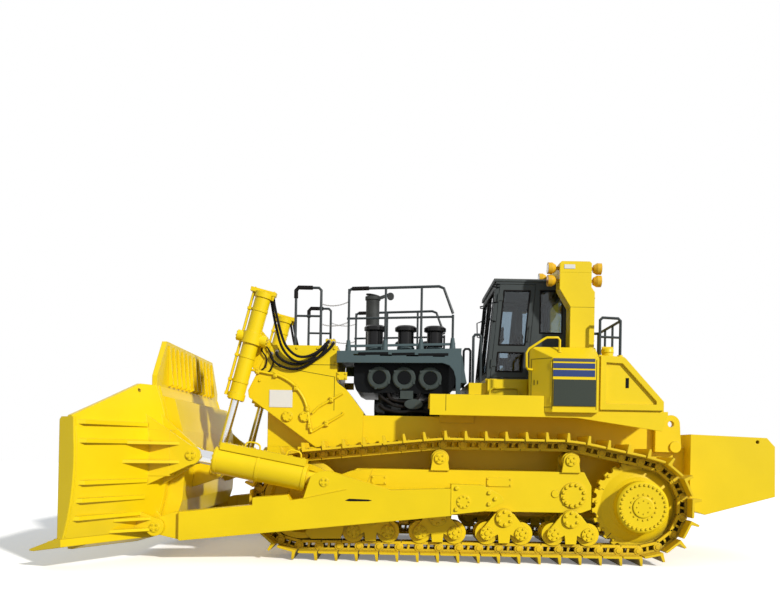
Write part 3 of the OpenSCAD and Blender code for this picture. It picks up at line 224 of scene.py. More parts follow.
def paint(name, colour, rough=0.38, coat=0.06, dust=0.1, wear=0.25, corner_shade=0.45, reach=SHADE_REACH):
    """Sprayed machine paint: cloudy tone, orange peel, dust on top, rubbed edges, and painted shade
    darkening the corners.
    """
    material, tree, shader = new_material(
        name, Coat_Weight=coat, Coat_Roughness=COAT_ROUGH, Specular_IOR_Level=PAINT_SPECULAR
    )
    coords = object_coords(tree)
    cloud = noise(tree, CLOUD, 5.0, coords)
    speckle = noise(tree, SPECKLE, 4.0, coords)
    tone = blend_colour(tree, spread(tree, cloud, 0.35, 0.65), darker(colour, 0.93), colour)
    facing = new_node(tree, "NewGeometry").outputs["Normal"]
    up = new_node(tree, "SeparateXYZ", {0: facing}).outputs["Z"]
    lying = maths(tree, "MULTIPLY", spread(tree, up, 0.55, 1.0), spread(tree, speckle, 0.3, 0.7))
    dusty = blend_colour(tree, maths(tree, "MULTIPLY", lying, dust), tone, DUST)
    rounded, edge = soft_edges(tree, EDGE_RADIUS)
    rubbed = maths(tree, "MULTIPLY", edge, spread(tree, speckle, 0.5, 0.62))
    worn = blend_colour(tree, maths(tree, "MULTIPLY", rubbed, wear), dusty, PRIMER)
    # Painted shade: ambient occlusion darkens corners and crevices towards dark brown, made patchy
    # by the cloud noise.
    open_sky = new_node(tree, "AmbientOcclusion", {"Distance": reach}, samples=NEAR_SAMPLES)
    corners = spread(tree, open_sky.outputs["AO"], 0.75, 0.3, 0.0, corner_shade)
    painted_shade = maths(tree, "MULTIPLY", corners, spread(tree, cloud, 0.2, 0.6))
    look = {
        "Base Color": blend_colour(tree, painted_shade, worn, CORNER_SHADE),
        "Roughness": spread(tree, speckle, 0.2, 0.8, rough - 0.06, rough + 0.1),
        "Normal": relief(tree, noise(tree, PEEL, 2.0, coords), 0.06, PEEL_DEPTH, rounded),
    }
    feed(tree, shader, look)
    return material


def grained(name, colour, rough, grain_scale, grain_depth, metallic=0.0, tone=0.75, specular=0.22):
    """Cast or moulded surface: two tones of one colour and a grain in relief."""
    material, tree, shader = new_material(name, Metallic=metallic, Specular_IOR_Level=specular)
    coords = object_coords(tree)
    cloud = spread(tree, noise(tree, 6.0, 6.0, coords), 0.3, 0.7)
    grain = noise(tree, grain_scale, 3.0, coords)
    rounded, _ = soft_edges(tree, GRAIN_EDGE)
    look = {
        "Base Color": blend_colour(tree, cloud, darker(colour, tone), colour),
        "Roughness": spread(tree, grain, 0.2, 0.8, rough - 0.08, rough + 0.1),
        "Normal": relief(tree, grain, 0.35, grain_depth, rounded),
    }
    feed(tree, shader, look)
    return material


def woven(name, colour):
    """Cloth: crossed threads in relief, with a soft sheen."""
    material, tree, shader = new_material(name, Sheen_Weight=0.4, Roughness=0.85)
    threads = [wave(tree, 1 / THREAD / 6, direction, 0.4) for direction in ("X", "Y")]
    weave = maths(tree, "MAXIMUM", *threads)
    look = {
        "Base Color": blend_colour(tree, weave, darker(colour, 0.55), colour),
        "Normal": relief(tree, weave, 0.4, 0.001),
    }
    feed(tree, shader, look)
    return material


def smooth(name, spots, gloss, **sockets):
    """Even surface whose roughness alone varies, with a noise of this scale and detail."""
    material, tree, shader = new_material(name, **sockets)
    film = noise(tree, *spots, object_coords(tree))
    feed(tree, shader, {"Roughness": spread(tree, film, *gloss)})
    return material


def lens(name, tint):
    """Ribbed lamp glass over a bright reflector."""
    material, tree, shader = new_material(name, Base_Color=tint, Coat_Weight=1.0, Metallic=0.35)
    ribs = wave(tree, LENS_RIBS, "Y")
    look = {
        "Roughness": spread(tree, ribs, 0, 1, 0.1, 0.22),
        "Normal": relief(tree, ribs, 0.5, 0.002),
    }
    feed(tree, shader, look)
    return material


YELLOW_TONE = rgb(0.9, 0.66, 0.004)
yellow = paint("yellow_paint", YELLOW_TONE)
# The undercarriage and track paints lay deeper and wider painted shade into their corners.
under_paint = paint(
    "under_paint", YELLOW_TONE, rough=0.44, coat=0.03, wear=0.35, corner_shade=0.9, reach=0.26
)
TRACK_TONE = rgb(0.85, 0.59, 0.008)
track_paint = paint(
    "track_paint", TRACK_TONE, rough=0.46, coat=0.02, dust=0.25, wear=0.5, corner_shade=0.9, reach=0.22
)
slate = paint("slate_paint", rgb(0.062, 0.098, 0.108), rough=0.58, coat=0.0, wear=0.12)
rail_black = paint("rail_black", rgb(0.026, 0.036, 0.04), rough=0.4, wear=0.05)
lamp_paint = paint("lamp_paint", rgb(0.8, 0.46, 0.015), rough=0.36, wear=0.1)
cab_paint = paint("cab_paint", rgb(0.042, 0.052, 0.053), rough=0.6, coat=0.0, wear=0.1)
blue_stripe = paint("blue_stripe", rgb(0.024, 0.052, 0.19), rough=0.32, dust=0.04, wear=0.0)
grey_stripe = paint("grey_stripe", rgb(0.06, 0.076, 0.12), rough=0.32, dust=0.04, wear=0.0)
panel_paint = paint("panel_paint", rgb(0.028, 0.038, 0.028), rough=0.36, dust=0.04, wear=0.0)
plate_white = paint("plate_white", rgb(0.8, 0.8, 0.78), rough=0.3, dust=0.05, wear=0.0)
plastic = grained("black_plastic", rgb(0.005, 0.006, 0.007), 0.42, 420.0, 0.0006, specular=0.08)
rubber = grained("black_rubber", rgb(0.011, 0.01, 0.01), 0.62, 300.0, 0.001, specular=0.1)
tread = grained("tread_grit", rgb(0.03, 0.031, 0.032), 0.85, 700.0, 0.004)
cast_dark = grained(
    "engine_casting", rgb(0.022, 0.025, 0.026), 0.55, 160.0, 0.0016, tone=0.45, specular=0.1
)
gloss_black = grained("gloss_black", rgb(0.01, 0.01, 0.011), 0.22, 420.0, 0.0003)
stack_metal = grained(
    "stack_metal", rgb(0.058, 0.062, 0.061), 0.62, 90.0, 0.001, metallic=0.3, tone=0.55
)
cleaner_grey = grained("cleaner_grey", rgb(0.048, 0.064, 0.062), 0.48, 260.0, 0.0008)
bolt_steel = grained("bolt_steel", rgb(0.3, 0.28, 0.26), 0.4, 300.0, 0.0006, metallic=0.9)
ROD_GLOSS, GLASS_GLOSS = (0.2, 0.8, 0.12, 0.22), (0.35, 0.8, 0.015, 0.09)
ROD_TONE, GLASS_TINT = rgb(0.72, 0.73, 0.75), rgb(0.42, 0.5, 0.56)
chrome = smooth("plated_rod", (90.0, 2.0), ROD_GLOSS, Metallic=1.0, Base_Color=ROD_TONE)
cloth = woven("seat_cloth", rgb(0.045, 0.048, 0.055))
clear = {"Transmission_Weight": 1.0, "IOR": 1.45, "Coat_Weight": 0.2, "Base_Color": GLASS_TINT}
glass = smooth("tinted_glass", (3.0, 6.0), GLASS_GLOSS, **clear)
lamp_clear = lens("lamp_clear", rgb(0.78, 0.8, 0.82))
lamp_amber = lens("lamp_amber", rgb(0.85, 0.32, 0.02))

# Nodes of each finish; a name that ends in _ stands for its left and right
FINISHES = {
    yellow: "main_frame cross_shafts radiator_guard side_decks cab_base rops_posts rops_beam "
    "side_cabinets fuel_tank tow_brackets counterweight push_arm_ blade_body cutting_edge "
    "tilt_barrel_ lift_barrel_",
    under_paint: "track_frame_ sprockets idlers bogies track_rollers carrier_rollers",
    track_paint: "track_",
    slate: "engine_deck radiator_grille",
    rail_black: "handrails",
    lamp_paint: "work_lamps",
    stack_metal: "exhaust_stack",
    gloss_black: "precleaners",
    cab_paint: "cab_roof cab_front cab_back cab_side_ cab_door_",
    plastic: "air_cleaners control_console",
    cast_dark: "engine",
    cloth: "operator_seat",
    chrome: "tilt_rod_ lift_rod_",
    glass: "cab_glass door_glass_",
}
for finish, names in FINISHES.items():
    for name in names.split():
        for end in ("left", "right") if name.endswith("_") else ("",):
            nodes[name + end].data.materials.clear()
            nodes[name + end].data.materials.append(finish)


# Shapes
def oblong(u0, u1, v0, v1):
    return [(u0, v0), (u1, v0), (u1, v1), (u0, v1)]


def around(along, across, sides):
    """Unit vectors round an axis, from one across it."""
    other = along.cross(across)
    turns = [2 * math.pi * i / sides for i in range(sides)]
    return [across * math.cos(turn) + other * math.sin(turn) for turn in turns]


class Shape:
    """Closed forms collected into one mesh."""

    def __init__(self):
        self.verts = []
        self.faces = []

    def add(self, verts, faces):
        base = len(self.verts)
        self.verts += [Vector(v) for v in verts]
        self.faces += [[base + i for i in face] for face in faces]
        return self

    def block(self, low, high):
        (x0, y0, z0), (x1, y1, z1) = low, high
        corners = [(x, y, z) for z in (z0, z1) for x, y in oblong(x0, x1, y0, y1)]
        ends, walls = [(3, 2, 1, 0), (4, 5, 6, 7)], [(i, (i + 1) % 4) for i in range(4)]
        return self.add(corners, ends + [(i, j, 4 + j, 4 + i) for i, j in walls])

    def slab(self, xs, ys, zs):
        """Block between pairs of lengths, X from the sprocket axle."""
        return self.block(*(point(*corner) for corner in zip(xs, ys, zs)))

    def prism(self, outline, depth):
        """Outline in space, anticlockwise as seen from depth's end, pushed along depth."""
        count = len(outline)
        depth = Vector(depth)
        low = [Vector(p) for p in outline]
        walls = [(i, (i + 1) % count, count + (i + 1) % count, count + i) for i in range(count)]
        ends = [tuple(reversed(range(count))), tuple(range(count, 2 * count))]
        return self.add(low + [p + depth for p in low], walls + ends)

    def side_plate(self, outline, y0, y1):
        """Plate with an X Z outline given anticlockwise as seen from the right side."""
        return self.prism([point(x, y1, z) for x, z in outline], (0, y0 - y1, 0))

    def turned(self, profile, at, axis, sides=20):
        """Solid of revolution of (radius, height) points that start and end on the axis."""
        along = Vector(axis).normalized()
        spokes = around(along, along.orthogonal().normalized(), sides)
        rings, verts = [], []
        for radius, height in profile:
            centre = Vector(at) + along * height
            ring = [centre + spoke * radius for spoke in spokes] if radius else [centre]
            rings.append(range(len(verts), len(verts) + len(ring)))
            verts += ring
        faces = []
        for low, high in zip(rings, rings[1:]):
            for i in range(sides):
                j = (i + 1) % sides
                corners = ((low, i), (low, j), (high, j), (high, i))
                quad = [ring[k % len(ring)] for ring, k in corners]
                faces.append([v for n, v in enumerate(quad) if v not in quad[:n]])
        return self.add(verts, faces)

    def disc(self, at, axis, radius, height, sides=24, chamfer=0.15):
        edge = min(radius, height) * chamfer
        rim = [(radius, 0), (radius, height - edge), (radius - edge, height)]
        return self.turned([(0, 0), *rim, (0, height)], at, axis, sides)

    def cap(self, x, z, y, radius, height, sides=24):
        """Disc on a face that looks outward."""
        return self.disc(point(x, y, z), Y_AXIS, radius, height, sides)

    def bolt(self, at, axis, size):
        """Hexagon head on a washer."""
        self.disc(at, axis, size * 1.25, size * 0.25, 12)
        return self.disc(Vector(at) + Vector(axis) * size * 0.25, axis, size, size * 0.8, 6)

    def bolt_ring(self, centre, axis, radius, count, size, start=0.0):
        across = Vector(axis).orthogonal().normalized()
        for i in range(count):
            turn = Matrix.Rotation(start + 2 * math.pi * i / count, 3, axis)
            self.bolt(Vector(centre) + turn @ across * radius, axis, size)
        return self

    def ring(self, x, z, y, radius, count, size, start=0.0):
        """Ring of bolts on a face that looks outward."""
        return self.bolt_ring(point(x, y, z), Y_AXIS, radius, count, size, start)

    def face_bolts(self, spots, y, size):
        """Bolts at X Z spots on a face that looks outward."""
        for x, z in spots:
            self.bolt(point(x, y, z), Y_AXIS, size)
        return self

    def swept(self, points, radius, sides=10):
        """Round bar or hose through the points."""
        points = [Vector(p) for p in points]
        last = len(points) - 1
        verts = []
        across = None
        for i, p in enumerate(points):
            along = (points[min(i + 1, last)] - points[max(i - 1, 0)]).normalized()
            if across is None:
                across = along.orthogonal().normalized()
            across = (across - along * across.dot(along)).normalized()
            verts += [p + spoke * radius for spoke in around(along, across, sides)]
        faces = []
        for low in range(0, last * sides, sides):
            for k in range(sides):
                after = (k + 1) % sides
                faces.append((low + k, low + after, low + sides + after, low + sides + k))
        faces.append(tuple(reversed(range(sides))))
        faces.append(tuple(range(last * sides, (last + 1) * sides)))
        return self.add(verts, faces)

    def rod(self, points, radius, sides=10):
        """Bar through points, X from the sprocket axle."""
        return self.swept([point(*p) for p in points], radius, sides)

    def tube(self, points, radius, sides=10, steps=8):
        """Hose or pipe that bends smoothly through points, X from the sprocket axle."""
        return self.swept(smooth_path([point(*p) for p in points], steps), radius, sides)

    def mirrored(self):
        other = Shape()
        other.verts = [Vector((v.x, -v.y, v.z)) for v in self.verts]
        other.faces = [list(reversed(face)) for face in self.faces]
        return other

    def on_side(self, sign):
        return self if sign > 0 else self.mirrored()

    def both(self):
        other = self.mirrored()
        return self.add(other.verts, other.faces)

    def piece(self, name, material, body=CHASSIS, crease=35):
        mesh = bpy.data.meshes.new(name)
        mesh.from_pydata(self.verts, [], self.faces)
        mesh.validate()
        mesh.shade_smooth()
        mesh.set_sharp_from_angle(angle=math.radians(crease))
        mesh.materials.append(material)
        made = bpy.data.objects.new(name, mesh)
        bpy.context.scene.collection.objects.link(made)
        if body:
            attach(made, body)
        return made

    def pair(self, name, material, body=CHASSIS):
        """One piece with its mirror image."""
        return self.both().piece(name, material, body)


def for_sides(make, name, material, body):
    """One piece for each side's own body, from a function that adds the left one to a shape."""
    for side, sign in SIDES:
        make(Shape()).on_side(sign).piece(f"{name}_{side}", material, f"{body}_{side[0]}")


def smooth_path(points, steps=8):
    """Catmull-Rom curve through the points."""
    points = [Vector(p) for p in points]
    padded = [2 * points[0] - points[1], *points, 2 * points[-1] - points[-2]]
    path = []
    for p0, p1, p2, p3 in zip(padded, padded[1:], padded[2:], padded[3:]):
        for i in range(steps):
            t = i / steps
            straight = 2 * p1 + (p2 - p0) * t
            bent = (2 * p0 - 5 * p1 + 4 * p2 - p3) * t**2
            path.append(0.5 * (straight + bent + (3 * p1 - p0 - 3 * p2 + p3) * t**3))
    return path + [points[-1]]


# Tracks: shoes with bolts, and link plates with pins, bosses and windows
def polar(angle):
    return Vector((math.cos(angle), math.sin(angle)))


def track_pins():
    """Pin centres of the closed loop in the X Z plane, X from the sprocket axle."""
    quarter = math.pi / 2
    idler, sprocket = Vector((WHEEL_BASE, WHEEL_Z)), Vector((0, WHEEL_Z))
    top = WHEEL_Z + CHAIN_R + CARRIER_RISE
    front, rear = (Vector((x, top)) for x in CARRIERS)

    def tangent(wheel, carrier, sign):
        to = carrier - wheel
        angle = math.atan2(to.y, to.x) + sign * math.acos(CHAIN_R / to.length)
        return angle, wheel + CHAIN_R * polar(angle)

    def straight(a, b):
        return (b - a).length, lambda s: a + (b - a).normalized() * s

    def arc(wheel, start, end):
        return CHAIN_R * (end - start), lambda s: wheel + CHAIN_R * polar(start + s / CHAIN_R)

    leave, from_idler = tangent(idler, front, -1)
    meet, to_sprocket = tangent(sprocket, rear, 1)
    runs = [
        (WHEEL_BASE, lambda s: Vector((s, PIN_Z))),
        arc(idler, -quarter, leave),
        straight(from_idler, front),
        straight(front, rear),
        straight(rear, to_sprocket),
        arc(sprocket, meet, 3 * quarter),
    ]
    whole = sum(length for length, _ in runs)
    count = round(whole / LINK_PITCH)
    pins = []
    for i in range(count):
        s = i * whole / count
        for length, place in runs:
            if s < length:
                pins.append(place(s))
                break
            s -= length
    return pins


ROWS = [sign * (LINK_GAP + LINK_W) / 2 for sign in (-1, 1)]
SHOE_GAP, SHOE_T, SHOE_LIP = 0.008, 0.036, 0.006
GROUSER_ROOT, GROUSER_TIP = 0.055, 0.034
SHOE_BOLT, SHOE_BOLTS = 0.02, (0.3, 0.72)
PIN_R, PIN_END = 0.042, 0.014
BOSS_R, BOSS_END = 0.074, 0.006
LINK_WEB = ((0.44, -0.05), (0.56, -0.05), (0.6, 0.032), (0.48, 0.032))


def track_shape():
    shape = Shape()
    pins = track_pins()
    for here, there in zip(pins, pins[1:] + pins[:1]):
        pitch = (there - here).length
        along = (there - here) / pitch
        out = Vector((along.y, -along.x))

        def place(s, n, y=0.0, here=here, along=along, out=out):
            q = here + along * s + out * n
            return point(q.x, TRACK_Y + y, q.y)

        def bar(outline, y0, y1, place=place):
            shape.prism([place(s, n, y1) for s, n in reversed(outline)], (0, y0 - y1, 0))

        top = PLATE_DROP - SHOE_T
        shoe = [
            (SHOE_GAP, top),
            (pitch - SHOE_GAP, top),
            (pitch - SHOE_GAP, PLATE_DROP - SHOE_LIP),
            (0.86 * pitch, PLATE_DROP),
            (SHOE_GAP + GROUSER_ROOT, PLATE_DROP),
            (SHOE_GAP + GROUSER_TIP, PLATE_DROP + GROUSER),
            (SHOE_GAP, PLATE_DROP + GROUSER),
        ]
        bar(shoe, -SHOE_HALF, SHOE_HALF)
        normal = place(0, 1) - place(0, 0)
        for row in ROWS:
            y0, y1 = row - LINK_W / 2, row + LINK_W / 2
            bar(oblong(-0.03, pitch - 0.04, -RAIL_H, -0.045), y0, y1)
            bar(oblong(0.02, pitch - 0.03, 0.028, top), y0, y1)
            bar([(s * pitch, n) for s, n in LINK_WEB], y0 + 0.01, y1 - 0.01)
            boss = place(0, 0, y0 - BOSS_END)
            shape.disc(boss, Y_AXIS, BOSS_R, LINK_W + 2 * BOSS_END, 18, 0.08)
            for s in SHOE_BOLTS:
                shape.bolt(place(s * pitch, PLATE_DROP, row), normal, SHOE_BOLT)
        reach = (LINK_GAP + 2 * LINK_W) / 2 + PIN_END
        shape.disc(place(0, 0, -reach), Y_AXIS, PIN_R, 2 * reach, 14, 0.05)
    return shape


for side, sign in SIDES:
    loop = track_shape().on_side(sign)
    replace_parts(loop.piece(f"track_loop_{side}", track_paint), f"track_{side}")


# Undercarriage hardware
HUB_FACE_Y = 1.975
HUB_CAP_Y = 1.995
SEGMENT_FACE_Y = TRACK_Y + 0.053
CAP_Y = 1.849
ROLLER_CAP_Y = 1.8593
CARRIER_CAP_Y = 1.8503
CARRIER_Z = sum(corner[2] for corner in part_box("carrier_rollers")) / 2
PIVOT_X, PIVOT_Z, PIVOT_Y = 1.06, 1.08, 1.81
# Face, radius, count and size of the final drive's bolt rings
HUB_RINGS = (
    (HUB_FACE_Y, 0.35, 30, 0.018),
    (HUB_FACE_Y, 0.205, 16, 0.013),
    (HUB_CAP_Y, 0.105, 8, 0.01),
    (SEGMENT_FACE_Y, 0.668, 18, 0.022),
)


def undercarriage_bolts():
    shape = Shape()
    for ring in HUB_RINGS:
        shape.ring(0, WHEEL_Z, *ring)
    shape.ring(PIVOT_X, PIVOT_Z, PIVOT_Y, 0.168, 12, 0.024)
    for x in BOGIES:
        shape.cap(x, BOGIE_Z, CAP_Y - 0.004, 0.138, 0.026, 28)
        shape.ring(x, BOGIE_Z, CAP_Y + 0.022, 0.1, 6, 0.02, 0.3)
        for roller in (x - ROLLER_HALF, x + ROLLER_HALF):
            shape.ring(roller, ROLLER_Z, ROLLER_CAP_Y, 0.076, 6, 0.013)
            shape.cap(roller, ROLLER_Z, ROLLER_CAP_Y - 0.002, 0.035, 0.016, 16)
    for x in CARRIERS:
        shape.ring(x, CARRIER_Z, CARRIER_CAP_Y, 0.058, 4, 0.012)
        shape.cap(x, CARRIER_Z, CARRIER_CAP_Y - 0.002, 0.026, 0.014, 14)
    shape.pair("undercarriage_bolts", yellow)


undercarriage_bolts()

# Cabinet stripes, bare panels and plates
CABINET_Y = 1.85
STRIPE_X = (0.764, 1.43)
STRIPES = ((3.209, 3.258, grey_stripe), (3.1, 3.182, blue_stripe), (2.97, 3.074, blue_stripe))
PANEL_X, PANEL_Z = (0.748, 1.422), (2.5, 2.922)
PANEL_Y = 1.864
SKIN = 0.004


def flat_panel(name, x, z, y, material, thick=SKIN):
    Shape().slab(x, (y, y + thick), z).pair(name, material)


for number, (z0, z1, material) in enumerate(STRIPES):
    flat_panel(f"cabinet_stripe_{number}", STRIPE_X, (z0, z1), CABINET_Y, material)
flat_panel("cabinet_panel", PANEL_X, PANEL_Z, PANEL_Y, panel_paint)
flat_panel("guard_plate", (5.66, 6.05), (2.44, 2.73), 1.1, plate_white, 0.006)
flat_panel("roll_frame_plate", (1.02, 1.2), (4.775, 4.845), 1.45, plate_white, 0.005)

# Lamps: reflector glass in each housing
LAMP_Y, LAMP_FACE = 1.33, 0.166
LAMPS = [(x, LAMP_Y, z, way) for x, way in ((1.269, 1), (0.747, -1)) for z in (4.805, 4.6)]
LAMPS += [(1.269, 0.5, 4.805, 1)]
LAMP_PROFILE = [(0, 0), (0.08, 0), (0.078, 0.01), (0.045, 0.02), (0, 0.024)]
AMBER = (1, 2)


def lamp_glass(index, x, y, z, facing):
    shape = Shape().turned(LAMP_PROFILE, point(x + facing * LAMP_FACE, y, z), (facing, 0, 0), 24)
    shape.pair(f"lamp_glass_{index}", lamp_amber if index in AMBER else lamp_clear)


for index, lamp in enumerate(LAMPS):
    lamp_glass(index, *lamp)

# Air cleaner covers
CLEANER_X = (4.211, 3.789, 3.35)
CLEANER_Z = 2.973
CLEANER_FACE_Y = 1.055


COVER_RIM = [(0.196, 0), (0.196, 0.012), (0.178, 0.026), (0.128, 0.026), (0.112, 0.012)]
COVER_PROFILE = [(0.11, 0), *COVER_RIM, (0.11, 0)]
LATCH_R, LATCH_TURNS = 0.186, (0.6, 3.6, 5.0)
LATCH_IN, LATCH_OUT = Vector((0.02, 0.01, 0.02)), Vector((0.02, 0.034, 0.02))


def cleaner_covers():
    shape = Shape()
    for x in CLEANER_X:
        at = point(x, CLEANER_FACE_Y, CLEANER_Z)
        shape.turned(COVER_PROFILE, at, Y_AXIS, 40)
        for turn in LATCH_TURNS:
            spot = at + Vector((math.cos(turn), 0, math.sin(turn))) * LATCH_R
            shape.block(spot - LATCH_IN, spot + LATCH_OUT)
    shape.pair("cleaner_covers", cleaner_grey)


cleaner_covers()


# Operator's seat
CROWN, CELLS = 0.045, 14
EDGE_PULL, PAD_FIT = 0.1, 0.93
SEAM_AT, SEAM_W = 0.45, 0.05


def cushion(name, low, high):
    """Crowned pad: a box grid whose faces swell and whose edges stay drawn in by the piping."""
    low, high = Vector(low), Vector(high)
    middle, half = (low + high) / 2, (high - low) / 2
    shape = Shape()
    row = CELLS + 1
    for axis, sign in product(range(3), (-1, 1)):
        u, v = [a for a in range(3) if a != axis]
        grid = []
        for i, j in product(range(row), repeat=2):
            a, b = -1 + 2 * i / CELLS, -1 + 2 * j / CELLS
            p = Vector((0, 0, 0))
            p[axis], p[u], p[v] = sign, a, b
            drawn = [p[(k + 1) % 3] ** 4 + p[(k + 2) % 3] ** 4 for k in range(3)]
            q = Vector([c * (1 - EDGE_PULL * d / 2) for c, d in zip(p, drawn)])
            swell = CROWN * (1 - a**4) * (1 - b**4)
            seam = 0.35 * CROWN * math.exp(-((abs(b) - SEAM_AT) / SEAM_W) ** 2)
            spot = Vector([middle[k] + half[k] * PAD_FIT * q[k] for k in range(3)])
            spot[axis] += sign * (swell - seam * (1 - a**4)) * 0.6
            grid.append(spot)
        faces = []
        for i, j in product(range(CELLS), repeat=2):
            quad = [i * row + j, (i + 1) * row + j, (i + 1) * row + j + 1, i * row + j + 1]
            flip = (sign > 0) != (axis == 1)
            faces.append(quad if flip else quad[::-1])
        shape.add(grid, faces)
    made = shape.piece(name, cloth, CHASSIS, crease=80)
    weld = made.modifiers.new("weld", "WELD")
    weld.merge_threshold = 0.002


SEAT_POST = [(0, 0), (0.13, 0), (0.12, 0.14), (0.15, 0.21), (0, 0.21)]


def seat():
    base = Shape().slab((1.44, 1.76), (-0.18, 0.18), (2.99, 3.1))
    base.turned(SEAT_POST, point(1.6, 0, 3.1), Z_AXIS, 20)
    base.slab((1.4, 1.82), (-0.25, 0.25), (3.29, 3.335))
    for y in (0.33, -0.33):
        base.tube([(1.47, y * 0.84, 3.4), (1.46, y, 3.45), (1.47, y, 3.575)], 0.022)
        arm = [(1.4, y, 3.59), (1.44, y, 3.6), (1.72, y, 3.6), (1.76, y, 3.59)]
        base.rod(arm, 0.036, 12)
    made = base.piece("seat_frame", plastic)
    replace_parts(made, "operator_seat")
    cushion("seat_pad", point(1.37, -0.26, 3.335), point(1.86, 0.26, 3.465))
    cushion("seat_back", point(1.315, -0.25, 3.44), point(1.435, 0.25, 4.1))


seat()


# Lift cylinders: hoses, fittings and bolts
LIFT_PIVOT = point(6.325, 1.27, 3.565)
LIFT_DOWN = Vector((0.247165, 0, -0.968973))
LIFT_FRONT = Vector((0.968973, 0, 0.247165))
HOSE_R, HOSE_SIDES, NUT_R = 0.022, 14, 0.033
MANIFOLD_FACE_Y = 1.1
HEAD_HOSES = (
    [(5.955, 1.285, 4.1), (5.87, 1.28, 3.75), (5.77, 1.26, 3.47), (5.61, 1.235, 3.31),
     (5.44, 1.215, 3.285), (5.25, 1.18, 3.37), (5.13, 1.155, 3.49), (5.075, 1.135, 3.55),
     (5.06, 1.105, 3.56)],
    [(6.0, 1.24, 4.08), (5.93, 1.235, 3.75), (5.83, 1.225, 3.43), (5.66, 1.2, 3.235),
     (5.47, 1.18, 3.2), (5.22, 1.16, 3.29), (5.06, 1.145, 3.42), (4.99, 1.135, 3.51),
     (4.985, 1.105, 3.54)],
)
HEAD_ENDS = ((-0.165, 0.03), (-0.105, -0.03))
GUARD_HOSES = (
    [(6.02, 1.1, 3.34), (6.02, 1.15, 3.27), (5.9, 1.16, 3.15), (5.7, 1.16, 3.085),
     (5.5, 1.155, 3.11), (5.3, 1.15, 3.23), (5.14, 1.145, 3.38), (5.1, 1.135, 3.47),
     (5.09, 1.105, 3.5)],
    [(5.93, 1.1, 3.38), (5.93, 1.14, 3.32), (5.82, 1.15, 3.22), (5.66, 1.15, 3.165),
     (5.5, 1.15, 3.18), (5.34, 1.145, 3.27), (5.19, 1.14, 3.41), (5.13, 1.13, 3.47),
     (5.12, 1.105, 3.51)],
)
TRUNNION_PIPES = (
    [(6.2, 1.09, 3.42), (6.17, 1.13, 3.36), (6.1, 1.13, 3.25), (6.12, 1.13, 3.12),
     (6.19, 1.1, 3.06)],
    [(6.14, 1.09, 3.46), (6.08, 1.13, 3.42), (5.99, 1.13, 3.24), (6.02, 1.13, 3.08),
     (6.1, 1.1, 3.01)],
)
FERRULE = ((0, 0), (1.25, 0), (1.25, 0.05), (1.08, 0.056), (1.08, 0.075), (0, 0.075))
LIFT_BAND = [(0.129, 0), (0.137, 0), (0.137, 0.045), (0.129, 0.045), (0.129, 0)]
LIFT_CLAMP = ((0.12, 0.036), (0.12, -0.036), (0.205, -0.036), (0.205, 0.036))


def on_lift(down, front, y=0.0):
    """Place on the left lift cylinder: along it from the trunnion, ahead of its axis, outward."""
    return LIFT_PIVOT + LIFT_DOWN * down + LIFT_FRONT * front + Y_AXIS * y


def opposite(spot, sign):
    return Vector((spot.x, spot.y * sign, spot.z))


def lift_hoses():
    head, manifold = on_lift(-0.76, -0.13), point(*HEAD_HOSES[0][-1])
    for side, sign in SIDES:
        shape = Shape()
        for (front, y), path in zip(HEAD_ENDS, HEAD_HOSES):
            start = on_lift(-0.765, front, y)
            shape.swept(smooth_path([start, *[point(*p) for p in path]]), HOSE_R, HOSE_SIDES)
        made = shape.on_side(sign).piece(f"lift_hoses_{side}", rubber, None)
        opposite(manifold, sign)
        opposite(head, sign)
        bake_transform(made)


def ferrule(shape, at, axis):
    """Crimped hose end with its hexagon."""
    along = Vector(axis).normalized()
    shape.turned([(HOSE_R * r, h) for r, h in FERRULE], at, along, HOSE_SIDES)
    shape.disc(Vector(at) - along * 0.03, along, NUT_R, 0.032, 6, 0.1)


def hose_fittings():
    fixed = Shape()
    for path in GUARD_HOSES:
        fixed.tube(path, HOSE_R, HOSE_SIDES)
    for path in TRUNNION_PIPES:
        fixed.tube(path, 0.013, steps=5)
    fixed.pair("guard_hoses", rubber)
    ends = Shape()
    for x, _, z in [path[-1] for path in (*HEAD_HOSES, *GUARD_HOSES)]:
        ends.disc(point(x, MANIFOLD_FACE_Y, z), Y_AXIS, NUT_R, 0.022, 6, 0.1)
    for path in GUARD_HOSES:
        ends.disc(point(*path[0]), Y_AXIS, NUT_R, 0.026, 6, 0.1)
    for x, y in product((4.985, 5.04, 5.095), (0.94, 1.06)):
        ends.bolt(point(x, y, 3.6), Z_AXIS, 0.014)
    ends.pair("manifold_fittings", bolt_steel)


def lift_hardware(shape):
    for front, y in HEAD_ENDS:
        ferrule(shape, on_lift(-0.76, front, y), LIFT_DOWN)
    for way in (1, -1):
        shape.bolt_ring(on_lift(0, 0.25 * way), LIFT_FRONT * way, 0.062, 6, 0.014)
        shape.disc(on_lift(0, 0.25 * way), LIFT_FRONT * way, 0.03, 0.012, 16)
    shape.bolt_ring(on_lift(1.05, 0), LIFT_DOWN, 0.11, 12, 0.014)
    shape.bolt_ring(on_lift(-0.78, 0), -LIFT_DOWN, 0.128, 10, 0.013, 0.3)
    for front, y in product((-0.16, 0.16), (-0.03, 0.03)):
        shape.bolt(on_lift(-0.83, front, y), -LIFT_DOWN, 0.013)
    for down in (-0.5, 0.3, 0.72):
        shape.turned(LIFT_BAND, on_lift(down, 0), LIFT_DOWN, 32)
        shape.prism([on_lift(down, front, y) for front, y in LIFT_CLAMP], LIFT_DOWN * 0.045)
    return shape


lift_hoses()
hose_fittings()
for_sides(lift_hardware, "lift_hardware", yellow, "lift_barrel")

